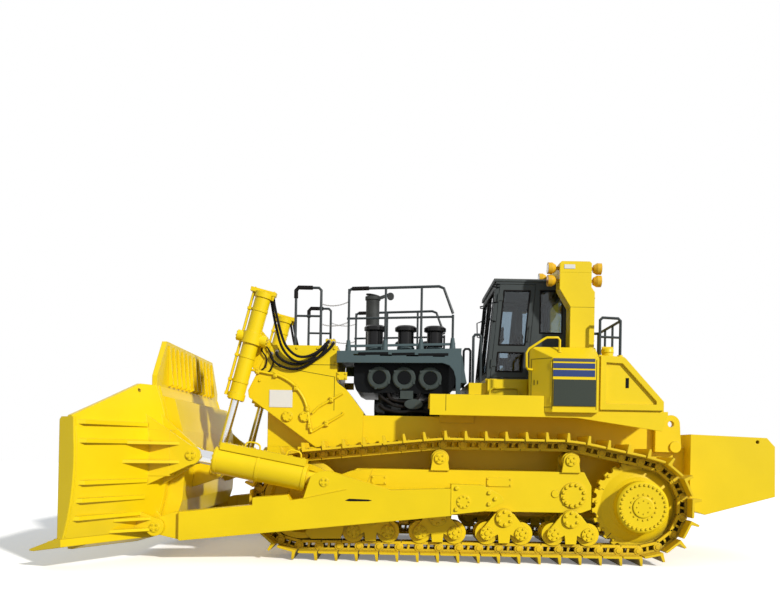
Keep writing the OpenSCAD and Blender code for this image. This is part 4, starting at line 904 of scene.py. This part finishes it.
# Tilt cylinders: gland bolts, bands, cover bolts and lifting loops
TILT_PIVOT = point(4.985, 2.27, 1.25)
TILT_ALONG = Vector((0.983291, 0, 0.182091))
TILT_UP = Vector((-0.182091, 0, 0.983291))
TILT_BAND = [(0.209, 0), (0.219, 0.004), (0.219, 0.046), (0.209, 0.05), (0.209, 0)]
LIFTING_LOOP = (
    (1.06, 0.275), (1.08, 0.345), (1.14, 0.37), (1.22, 0.37), (1.28, 0.345), (1.3, 0.275)
)


def on_tilt(along, up, y=0.0):
    return TILT_PIVOT + TILT_ALONG * along + TILT_UP * up + Y_AXIS * y


def tilt_hardware(shape):
    shape.bolt_ring(on_tilt(1.73, 0), TILT_ALONG, 0.165, 14, 0.017)
    for along in (0.305, 1.02, 1.665):
        shape.turned(TILT_BAND, on_tilt(along, 0), TILT_ALONG, 44)
    for i, y in product(range(7), (-0.125, 0.125)):
        shape.bolt(on_tilt(0.4 + 0.195 * i, 0.28, y), TILT_UP, 0.015)
    for back, y in ((0, 0.08), (0.62, -0.08)):
        shape.swept(smooth_path([on_tilt(s - back, n, y) for s, n in LIFTING_LOOP], 4), 0.014)
    return shape


for_sides(tilt_hardware, "tilt_hardware", yellow, "tilt_barrel")

# Handrail grips and chains
GRIP_PATHS = (
    ([(5.641, 1.0, 4.3), (5.641, 1.0, 4.43), (5.6, 1.0, 4.48), (5.36, 1.0, 4.48)], 0.036),
    ([(4.68, 1.193, 4.436), (4.4, 1.193, 4.4486)], 0.034),
)
RAIL_LINKS, RAIL_SAG = 22, 0.05
RAIL_LINK_LONG, RAIL_LINK_WIDE, RAIL_WIRE = 0.017, 0.008, 0.0032


def rail_dressing():
    grips = Shape()
    for path, radius in GRIP_PATHS:
        grips.rod(path, radius, 14)
    grips.pair("rail_grips", rubber)
    chains = Shape()
    turns = [polar(2 * math.pi * k / 12) for k in range(13)]
    for z in (4.21, 3.87):
        left, right = point(5.214, 1.0, z), point(4.73, 1.193, z + 0.01)
        along = (right - left).normalized()
        for i in range(RAIL_LINKS):
            t = (i + 0.5) / RAIL_LINKS
            middle = left.lerp(right, t) - Z_AXIS * RAIL_SAG * (1 - (2 * t - 1) ** 2)
            long = along * RAIL_LINK_LONG
            wide = (Z_AXIS if i % 2 else along.cross(Z_AXIS)) * RAIL_LINK_WIDE
            chains.swept([middle + long * turn.x + wide * turn.y for turn in turns], RAIL_WIRE, 6)
    chains.pair("rail_chains", bolt_steel)


rail_dressing()

# Radiator guard: pipe run, braces, clamps, bracket, covers, bolts, seams and tread
GUARD_Y = 1.1
GUARD_SKIN = (GUARD_Y, GUARD_Y + 0.002)
GUARD_RUN = (
    (6.348, 3.058), (6.066, 3.007), (5.896, 2.973), (5.669, 2.845),
    (5.497, 2.643), (5.41, 2.438), (5.378, 2.25), (5.337, 2.026),
)
GUARD_BRACES = (
    ((5.337, 2.026), (4.817, 2.336), (4.8, 2.37)),
    ((5.324, 2.345), (5.212, 2.46), (4.815, 2.692)),
)
PIPE_CLAMPS = (
    (6.25, 3.04), (5.95, 2.984), (5.6, 2.775), (5.4, 2.42),
    (5.36, 2.14), (5.08, 2.18), (5.0, 2.585),
)
GUARD_BOLTS = (
    (4.97, 3.44), (5.25, 3.44), (5.6, 3.44), (5.92, 3.42),
    (4.97, 3.2), (6.12, 3.12), (6.22, 2.88),
)
GUARD_SEAMS = (
    [(5.979, 3.128), (5.979, 3.136), (4.95, 2.969), (4.95, 2.961)],
    [(5.458, 3.162), (5.458, 3.17), (4.92, 3.171), (4.92, 3.163)],
)


def guard_dressing():
    pipes = Shape()
    pipes.tube([(x, GUARD_Y + 0.024, z) for x, z in GUARD_RUN], 0.022, 12, 5)
    for brace in GUARD_BRACES:
        pipes.rod([(x, GUARD_Y + 0.02, z) for x, z in brace], 0.02)
    for x, z in PIPE_CLAMPS:
        pipes.slab((x - 0.03, x + 0.03), (GUARD_Y, GUARD_Y + 0.05), (z - 0.045, z + 0.045))
        pipes.face_bolts([(x, z + 0.022), (x, z - 0.022)], GUARD_Y + 0.05, 0.01)
    pipes.slab((4.747, 4.918), (GUARD_Y - 0.01, GUARD_Y + 0.02), (2.918, 3.049))
    pipes.face_bolts(product((4.775, 4.89), (2.945, 3.02)), GUARD_Y + 0.02, 0.014)
    for x in (5.74, 5.45):
        pipes.cap(x, 2.29, GUARD_Y + 0.03, 0.082, 0.012, 28)
        pipes.ring(x, 2.29, GUARD_Y + 0.042, 0.064, 6, 0.01)
    pipes.face_bolts(GUARD_BOLTS, GUARD_Y, 0.018)
    pipes.pair("guard_pipes", yellow)
    seams = Shape()
    for seam in GUARD_SEAMS:
        seams.side_plate(seam, *GUARD_SKIN)
    seams.slab((4.955, 4.963), GUARD_SKIN, (2.4, 2.96))
    seams.pair("guard_seams", plastic)
    Shape().slab((5.24, 5.95), (-1.0, 1.0), (3.49, 3.494)).piece("guard_tread", tread)


# Engine deck and side decks: vent slots as dark sheets of painted shade, and tread; engine: hoses,
# covers and caps
HOOD_SLOTS = ((4.56, 4.06), (4.0, 3.62), (3.56, 3.06))
HOOD_TREADS = ((4.86, 4.6), (4.1, 3.95), (3.6, 3.45), (3.1, 2.9))
HOOD_X, HOOD_Z, HOOD_SLOPE = 4.915, 3.388, 0.038
DECK_TREADS = ((1.8, 2.38), (2.42, 2.66), (2.72, 3.34))
TREAD_T = 0.004
ENGINE_HOSES = (
    (0.985, [(4.18, 2.66), (4.1, 2.6), (3.9, 2.5), (3.6, 2.52), (3.35, 2.62), (3.24, 2.7)]),
    (1.0, [(4.18, 2.5), (4.08, 2.44), (3.85, 2.4), (3.52, 2.42), (3.3, 2.38), (3.22, 2.3)]),
    (0.975, [(4.05, 2.7), (4.0, 2.62), (3.78, 2.58), (3.58, 2.62), (3.52, 2.71)]),
)


def hood_z(x):
    return HOOD_Z + (HOOD_X - x) * HOOD_SLOPE


def deck_dressing():
    # Vent slots drawn as thin dark sheets: painted shade inside the openings.
    slots = Shape()
    for x1, x0 in HOOD_SLOTS:
        slots.side_plate([(x1, 3.325), (x1, 3.37), (x0, 3.383), (x0, 3.338)], 1.25, 1.2525)
    slots.pair("hood_slot_shade", plastic)
    grip = Shape()
    for x1, x0 in HOOD_TREADS:
        ends = ((x0, 0), (x1, 0), (x1, TREAD_T), (x0, TREAD_T))
        grip.side_plate([(x, hood_z(x) + rise) for x, rise in ends], -0.7, 0.7)
    for xs, y in product(DECK_TREADS, (1.14, -1.72)):
        grip.slab(xs, (y, y + 0.58), (2.665, 2.669))
    grip.piece("deck_tread", tread)
    pipes = Shape()
    for y, run in ENGINE_HOSES:
        start, end = [(x, y - 0.12, z) for x, z in (run[0], run[-1])]
        pipes.tube([start, *[(x, y, z) for x, z in run], end], 0.03, 12, 6)
    pipes.pair("engine_hoses", rubber)
    covers = Shape()
    turns = [polar(math.pi * k / 18) for k in range(36)]
    covers.side_plate([(3.62 + 0.155 * c.x, 2.535 + 0.085 * c.y) for c in turns], 0.95, 1.05)
    covers.slab((3.63, 3.85), (0.95, 1.04), (2.62, 2.76))
    covers.pair("engine_covers", cleaner_grey)
    cast = Shape()
    for x in (4.2, 3.92, 3.64, 3.36):
        cast.cap(x, 2.46, 0.955, 0.085, 0.045)
        cast.ring(x, 2.46, 1.0, 0.06, 5, 0.012)
    cast.pair("engine_caps", cast_dark)


guard_dressing()
deck_dressing()

# Deck seam, and the handle on the cab base
HANDLE = ((2.354, 2.7), (2.342, 2.782), (2.253, 2.817), (1.939, 2.823), (1.88, 2.799), (1.854, 2.7))


def hull_dressing():
    seams = Shape().slab((3.115, 3.123), (1.75, 1.7515), (2.4, 2.66))
    seams.pair("deck_seams", plastic)
    handles = Shape().tube([(x, 1.15, z) for x, z in HANDLE], 0.014, steps=4)
    for x, z in (HANDLE[0], HANDLE[-1]):
        handles.rod([(x, 1.118, z), (x, 1.165, z)], 0.016)
    handles.pair("deck_handles", yellow)


hull_dressing()

# Cabinet rail, door seams, two slots as dark sheets of painted shade, and hinges
CABINET_FACE = Vector((0.6681, 0.7441, 0))
CABINET_ALONG = Vector((0.7441, -0.6681, 0))
CABINET_RAIL = (
    (1.8, 1.66, 3.094), (1.83, 1.7, 3.126), (1.834, 1.7, 3.35), (1.795, 1.7, 3.42),
    (1.557, 1.7, 3.58), (1.509, 1.7, 3.605), (1.332, 1.7, 3.608),
    (1.3, 1.69, 3.57), (1.3, 1.68, 3.36),
)
CABINET_SEAMS = (
    (0.02, 0.4, 2.48, 2.486),
    (0.02, 0.4, 3.262, 3.268),
    (0.394, 0.4, 2.48, 3.268),
    # The last two rows are slots, drawn as dark sheets: painted shade inside them.
    (0.335, 0.347, 2.845, 2.925),
    (0.27, 0.28, 2.855, 2.915),
)


def cabinet_dressing():
    rails = Shape()
    for path in (CABINET_RAIL, [CABINET_RAIL[0], (1.72, 1.6, 3.094)]):
        rails.rod(path, 0.019, 12)
    rails.disc(point(1.3, 1.68, 3.37), Z_AXIS, 0.04, 0.02, 20)
    rails.pair("cabinet_rails", yellow)
    corner = point(1.435, 1.85, 0)
    seams, hinges = Shape(), Shape()
    for seam in CABINET_SEAMS:
        low = [corner + CABINET_ALONG * s + Z_AXIS * z for s, z in oblong(*seam)]
        seams.prism(low[::-1], CABINET_FACE * 0.003)
    for z in (2.6, 3.15):
        at = corner + CABINET_ALONG * 0.03 + Z_AXIS * z
        hinges.swept([at - Z_AXIS * 0.05, at + Z_AXIS * 0.05], 0.011)
    for x in (0.74, 1.44):
        seams.slab((x - 0.004, x + 0.004), (1.85, 1.852), (2.45, 3.24))
    seams.pair("cabinet_seams", plastic)
    hinges.pair("cabinet_hinges", yellow)


cabinet_dressing()

# Fuel tank, roll frame and counterweight
FILLER_CAP = [(0, 0), (0.105, 0), (0.105, 0.05), (0.09, 0.075), (0.04, 0.08), (0, 0.08)]
WEIGHT_FACE_X = -2.388


def rear_dressing():
    dark = Shape().slab((0.196, 0.246), (1.75, 1.756), (2.811, 2.971))
    dark.side_plate([(1.1, 4.15), (1.108, 4.146), (0.69, 4.146), (0.69, 4.15)], 1.45, 1.4515)
    dark.pair("rear_seams", plastic)
    metal = Shape().turned(FILLER_CAP, point(0.43, 1.3, 3.42), Z_AXIS, 28)
    metal.slab((0.34, 0.52), (1.285, 1.315), (3.49, 3.525))
    metal.slab((0.645, 1.135), (1.12, 1.48), (2.665, 2.69))
    for x in (0.665, 0.8, 0.95, 1.112):
        metal.bolt(point(x, 1.466, 2.69), Z_AXIS, 0.016)
    for z in (2.9, 3.6, 4.3):
        metal.rod([(0.69, 1.452, z), (0.69, 1.148, z)], 0.008, 6)
    metal.pair("rear_hardware", yellow)
    back = Shape()
    for y, z in product((-0.9, -0.3, 0.3, 0.9), (1.25, 1.8)):
        back.bolt(point(WEIGHT_FACE_X, y, z), (-1, 0, 0), 0.03)
    for y in (-0.62, 0.62):
        back.slab((-2.395, WEIGHT_FACE_X), (y - 0.004, y + 0.004), (1.12, 1.9))
    back.piece("weight_bolts", yellow)


rear_dressing()

# Cab: window seals, wipers, grab loops, roof unit and controls
SEAL_R = 0.013
LEAN, LEAN_Z = 0.0875, 2.99
CAB_LOOPS = (
    ([(2.29, 3.965), (2.355, 3.981), (2.365, 4.252), (2.28, 4.286)], 1.03),
    ([(2.23, 4.541), (2.311, 4.549), (2.31, 4.574), (2.23, 4.592)], 1.02),
)
# Rear and front X, rear and front half width, foot and height of the roof unit's two steps
ROOF_UNIT = ((1.3, 1.95, 0.55, 0.45, 4.7, 0.075), (1.34, 1.9, 0.5, 0.41, 4.775, 0.022))
BOOT = [(0, 0), (0.045, 0), (0.034, 0.03), (0.04, 0.05), (0.02, 0.08), (0, 0.08)]
KNOB = [(0, 0), (0.022, 0.01), (0.027, 0.05), (0.018, 0.09), (0, 0.1)]
PEDAL = [(2.02, 3.03), (2.1, 3.12), (2.09, 3.13), (2.01, 3.04)]


def leaned(x, z):
    return x - LEAN * (z - LEAN_Z)


def seal(shape, corners):
    closed = [*corners, corners[0]]
    for a, b in zip(closed, closed[1:]):
        shape.swept([a, b], SEAL_R, 8)
    bend = SEAL_R * 0.7
    ball = [(0, -SEAL_R), (bend, -bend), (SEAL_R, 0), (bend, bend), (0, SEAL_R)]
    for corner in corners:
        shape.turned(ball, corner, Z_AXIS, 8)


def cab_dressing():
    seals = Shape()
    seal(seals, [point(x, 1.0, z) for x, z in oblong(1.13, 1.5, 3.78, 4.5)])
    seal(seals, [point(leaned(2.395, z), y, z) for y, z in oblong(0.02, 0.82, 3.12, 4.53)])
    seals.both()
    seal(seals, [point(1.0, y, z) for y, z in oblong(-0.72, 0.72, 3.65, 4.5)])
    for y in (0.42, -0.42):
        arm = [(leaned(2.4, 3.16), y, 3.1), (leaned(2.42, 3.6), y + 0.1, 3.6)]
        seals.rod([*arm, (leaned(2.42, 4.0), y + 0.22, 4.0)], 0.01, 8)
        wiper = [(leaned(2.41, 3.7), y + 0.1, 3.66), (leaned(2.41, 4.25), y + 0.3, 4.25)]
        seals.rod(wiper, 0.009, 8)
    seals.piece("cab_seals", rubber)
    loops = Shape()
    for path, y in CAB_LOOPS:
        start, end = [(x - 0.03, 0.99, z) for x, z in (path[0], path[-1])]
        loops.rod([start, *[(x, y, z) for x, z in path], end], 0.012)
    loops.pair("cab_loops", plastic)
    unit = Shape()
    for x0, x1, y0, y1, z, rise in ROOF_UNIT:
        outline = ((x0, -y0), (x1, -y1), (x1, y1), (x0, y0))
        unit.prism([point(x, y, z) for x, y in outline], (0, 0, rise))
    for i in range(9):
        unit.slab((1.42 + 0.05 * i, 1.445 + 0.05 * i), (-0.34, 0.34), (4.797, 4.803))
    unit.piece("roof_unit", cab_paint)


def door_dressing(shape):
    for z0, z1 in ((3.57, 4.49), (3.12, 3.44)):
        pane = oblong(1.806, 2.245, z0, z1)
        seal(shape, [point(leaned(x, z), 1.001, z) for x, z in pane])
    return shape


def cab_controls():
    """Monitor, levers with boots and pedals, seen through the glass."""
    dark = Shape().slab((2.0, 2.03), (-0.16, 0.16), (3.78, 4.0))
    dark.rod([(2.05, 0, 3.76), (2.03, 0, 3.84)], 0.022)
    for y, (x, tip) in product((0.54, -0.54), ((1.7, 0.03), (1.62, -0.02))):
        dark.turned(BOOT, point(x, y, 3.51), Z_AXIS, 16)
        dark.tube([(x, y, 3.55), (x + tip / 2, y, 3.66), (x + tip, y, 3.74)], 0.01, steps=4)
        dark.turned(KNOB, point(x + tip, y, 3.72), Z_AXIS, 14)
    for y in (0.14, -0.14):
        dark.side_plate(PEDAL, y - 0.06, y + 0.06)
    dark.piece("cab_controls", plastic)


cab_controls()
cab_dressing()
for_sides(door_dressing, "door_seals", rubber, "cab_door")

# Blade: edge bolts, pin retainers, weld beads and ribs
BLADE = "blade"
FACE_X, FACE_R, FACE_Z, FACE_T = 7.53, 3.27, 1.6, 0.08
BLADE_MID, WING_TURN, WING_LEN = 2.1, math.atan(0.5285), 1.787
SKIN_Z0, EDGE_Z0 = 0.45, 0.25
EDGE_REACH, BIT_REACH, BIT_LEN = 0.31, 0.55, 0.43
EDGE_BOLT = 0.024


def face_at(z):
    return FACE_X + FACE_R - math.sqrt(FACE_R**2 - (z - FACE_Z) ** 2)


def on_wing(x, along, z):
    """Place on the left wing: X as on the middle, length along the wing from the bend."""
    back = FACE_X - FACE_T
    cos, sin = math.cos(WING_TURN), math.sin(WING_TURN)
    depth = x - back
    return point(back + depth * cos + along * sin, BLADE_MID - depth * sin + along * cos, z)


def edge_spot(share, reach):
    root = face_at(SKIN_Z0)
    return root + 0.02 + (reach - 0.02) * share, SKIN_Z0 + (EDGE_Z0 + 0.025 - SKIN_Z0) * share


def slope_normal(reach):
    run, drop = reach - 0.02, SKIN_Z0 - EDGE_Z0 - 0.025
    return Vector((drop, 0, run)).normalized()


def blade_hardware():
    bolts = Shape()
    turn = Matrix.Rotation(-WING_TURN, 3, "Z")
    x, z = edge_spot(0.3, EDGE_REACH)
    for i in range(11):
        bolts.bolt(point(x, 0.095 + 0.19 * i, z), slope_normal(EDGE_REACH), EDGE_BOLT)
    for i in range(7):
        bolts.bolt(on_wing(x, 0.12 + 0.185 * i, z), turn @ slope_normal(EDGE_REACH), EDGE_BOLT)
    for share in (0.22, 0.46):
        x, z = edge_spot(share, BIT_REACH)
        for along in (WING_LEN - BIT_LEN + 0.08, WING_LEN - 0.2, WING_LEN - 0.08):
            bolts.bolt(on_wing(x, along, z), turn @ slope_normal(BIT_REACH), EDGE_BOLT)
    for way in (1, -1):
        bolts.bolt_ring(point(6.89, 1.27 + 0.139 * way, 1.35), Y_AXIS * way, 0.044, 4, 0.013)
    bolts.ring(7.01, 1.625, 2.27 + 0.199, 0.048, 4, 0.014)
    bolts.ring(7.54, 0.525, 2.27 + 0.195, 0.046, 4, 0.014)
    bolts.pair("blade_bolts", yellow, BLADE)
    beads = Shape()
    rise = [0.48 + 0.11 * i for i in range(21)]
    beads.swept([on_wing(face_at(z), 0.0, z) for z in rise], 0.012, 8)
    for inset, tip, top, radius in ((0.002, 0.045, 2.12, 0.011), (FACE_T, 0.048, 2.1, 0.014)):
        line = [on_wing(face_at(z) - inset, WING_LEN - tip, z) for z in rise if z < top]
        beads.swept(line, radius, 8)
    for z in (2.7, 1.56):
        beads.rod([(face_at(z), 0, z), (face_at(z), BLADE_MID - 0.02, z)], 0.009, 8)
    beads.pair("blade_beads", yellow, BLADE)
    ribs = Shape()
    back = face_at(2.7) - FACE_T
    outline = [(back - 0.085, 2.76), (back - 0.022, 3.38), (back, 3.4), (back, 2.72)]
    for i in range(6):
        y = 0.14 + 0.27 * i
        ribs.side_plate(outline, y - 0.014, y + 0.014)
    ribs.pair("guard_ribs", yellow, BLADE)


blade_hardware()

# Push arms: slots drawn as dark sheets of painted shade, cap bolts and weld beads
ARM_FACE_Y = 2.45
ARM_SLOT = (
    (4.31, 0.998), (4.6, 1.006), (4.663, 0.978), (4.6, 0.968), (4.31, 0.972), (4.255, 0.985)
)
ARM_BOLTS = ((2.394, 1.04), (2.486, 1.13), (2.486, 0.96), (2.98, 1.19), (2.98, 0.87))
ARM_BEADS = (((4.64, 1.149), (4.985, 1.075), (5.3, 1.0)), ((3.054, 0.8), (3.054, 1.24)))
TRUNNION_X, TRUNNION_Z = 2.87, 0.99


def arm_dressing():
    # Each slot is a thin dark sheet: painted shade inside the opening.
    dark = Shape().side_plate(ARM_SLOT, ARM_FACE_Y, ARM_FACE_Y + 0.003)
    dark.pair("arm_slot_shade", plastic, "push_frame")
    metal = Shape().face_bolts(ARM_BOLTS, ARM_FACE_Y, 0.028)
    metal.cap(TRUNNION_X, TRUNNION_Z, ARM_FACE_Y, 0.105, 0.012, 36)
    metal.ring(TRUNNION_X, TRUNNION_Z, ARM_FACE_Y + 0.012, 0.08, 8, 0.012)
    metal.ring(4.985, 1.25, 2.462, 0.044, 4, 0.013)
    for bead in ARM_BEADS:
        metal.rod([(x, ARM_FACE_Y, z) for x, z in bead], 0.01, 8)
    metal.pair("arm_hardware", yellow, "push_frame")


arm_dressing()

# Idler caps, sprocket segment seams and frame covers
SEGMENTS = 5
FRAME_FACE_Y = 1.785


def undercarriage_dressing():
    shape = Shape()
    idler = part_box("idlers")[1][1]
    shape.cap(WHEEL_BASE, WHEEL_Z, idler - 0.002, 0.075, 0.016, 28)
    shape.ring(WHEEL_BASE, WHEEL_Z, idler + 0.014, 0.052, 6, 0.011)
    cover = FRAME_FACE_Y + 0.014
    for x0, x1 in ((4.05, 4.29), (2.05, 2.45)):
        shape.slab((x0, x1), (FRAME_FACE_Y, cover), (1.2, 1.34))
        shape.face_bolts(product((x0 + 0.025, x1 - 0.025), (1.225, 1.315)), cover, 0.011)
    shape.pair("idler_caps", yellow)
    seams = Shape()
    for i in range(SEGMENTS):
        angle = 2 * math.pi * (i + 0.35) / SEGMENTS
        out, across = polar(angle), polar(angle + math.pi / 2)
        corners = [out * r + across * w for r, w in oblong(0.6, 0.735, -0.004, 0.004)]
        outline = [(c.x, WHEEL_Z + c.y) for c in reversed(corners)]
        seams.side_plate(outline, SEGMENT_FACE_Y, SEGMENT_FACE_Y + 0.002)
    seams.pair("sprocket_seams", plastic)


undercarriage_dressing()


# Studio
FLOOR_HALF = 60
FLOOR_BOUNCE, FLOOR_SEEN, FLOOR_GLOW = rgb(0.3, 0.3, 0.3), rgb(1.25, 1.25, 1.25), 0.2
WHITE = rgb(1, 1, 1)
SKY_TONE, SKY_STRENGTH = rgb(0.9, 0.95, 1.0), 0.36
SUN_TONE, SUN_STRENGTH, SUN_ANGLE = (1.0, 0.97, 0.92), 3.3, math.radians(3)
SUN_WAY = Vector((0.575, -0.69, -0.44))


def cleared(block):
    block.use_nodes = True
    block.node_tree.nodes.clear()
    return block.node_tree


def make_floor():
    material = bpy.data.materials.new("studio_floor")
    tree = cleared(material)
    seen = seen_directly(tree)
    plain = new_node(tree, "BsdfDiffuse", {"Color": FLOOR_BOUNCE}).outputs[0]
    white = new_node(tree, "BsdfDiffuse", {"Color": FLOOR_SEEN}).outputs[0]
    lift = new_node(tree, "Emission", {"Color": WHITE, "Strength": FLOOR_GLOW}).outputs[0]
    shown = new_node(tree, "AddShader", {0: white, 1: lift}).outputs[0]
    mixed = new_node(tree, "MixShader", {0: seen, 1: plain, 2: shown}).outputs[0]
    new_node(tree, "OutputMaterial", {"Surface": mixed})
    corners = oblong(-FLOOR_HALF, FLOOR_HALF, -FLOOR_HALF, FLOOR_HALF)
    flat = Shape().add([(x, y, 0) for x, y in corners], [(0, 1, 2, 3)])
    floor = flat.piece("floor", material, None)


def seen_directly(tree):
    """1 for rays from the camera, off gloss or through glass."""
    path = new_node(tree, "LightPath").outputs
    total = maths(tree, "ADD", path["Is Camera Ray"], path["Is Glossy Ray"])
    return maths(tree, "MINIMUM", maths(tree, "ADD", total, path["Is Transmission Ray"]), 1.0)


def make_world():
    world = bpy.data.worlds.new("studio")
    tree = cleared(world)
    seen = seen_directly(tree)
    sky = {"Color": SKY_TONE, "Strength": SKY_STRENGTH}
    soft = new_node(tree, "Background", sky).outputs[0]
    white = new_node(tree, "Background", {"Color": WHITE, "Strength": 1.0}).outputs[0]
    mixed = new_node(tree, "MixShader", {0: seen, 1: soft, 2: white}).outputs[0]
    new_node(tree, "OutputWorld", {"Surface": mixed})
    bpy.context.scene.world = world


def make_key():
    data = bpy.data.lights.new("key", "SUN")
    data.energy = SUN_STRENGTH
    data.angle = SUN_ANGLE
    data.color = SUN_TONE
    key = bpy.data.objects.new("key", data)
    key.rotation_mode = "QUATERNION"
    key.rotation_quaternion = SUN_WAY.to_track_quat("-Z", "Y")
    bpy.context.scene.collection.objects.link(key)


make_floor()
make_world()
make_key()
bpy.context.scene.view_settings.view_transform = "Standard"
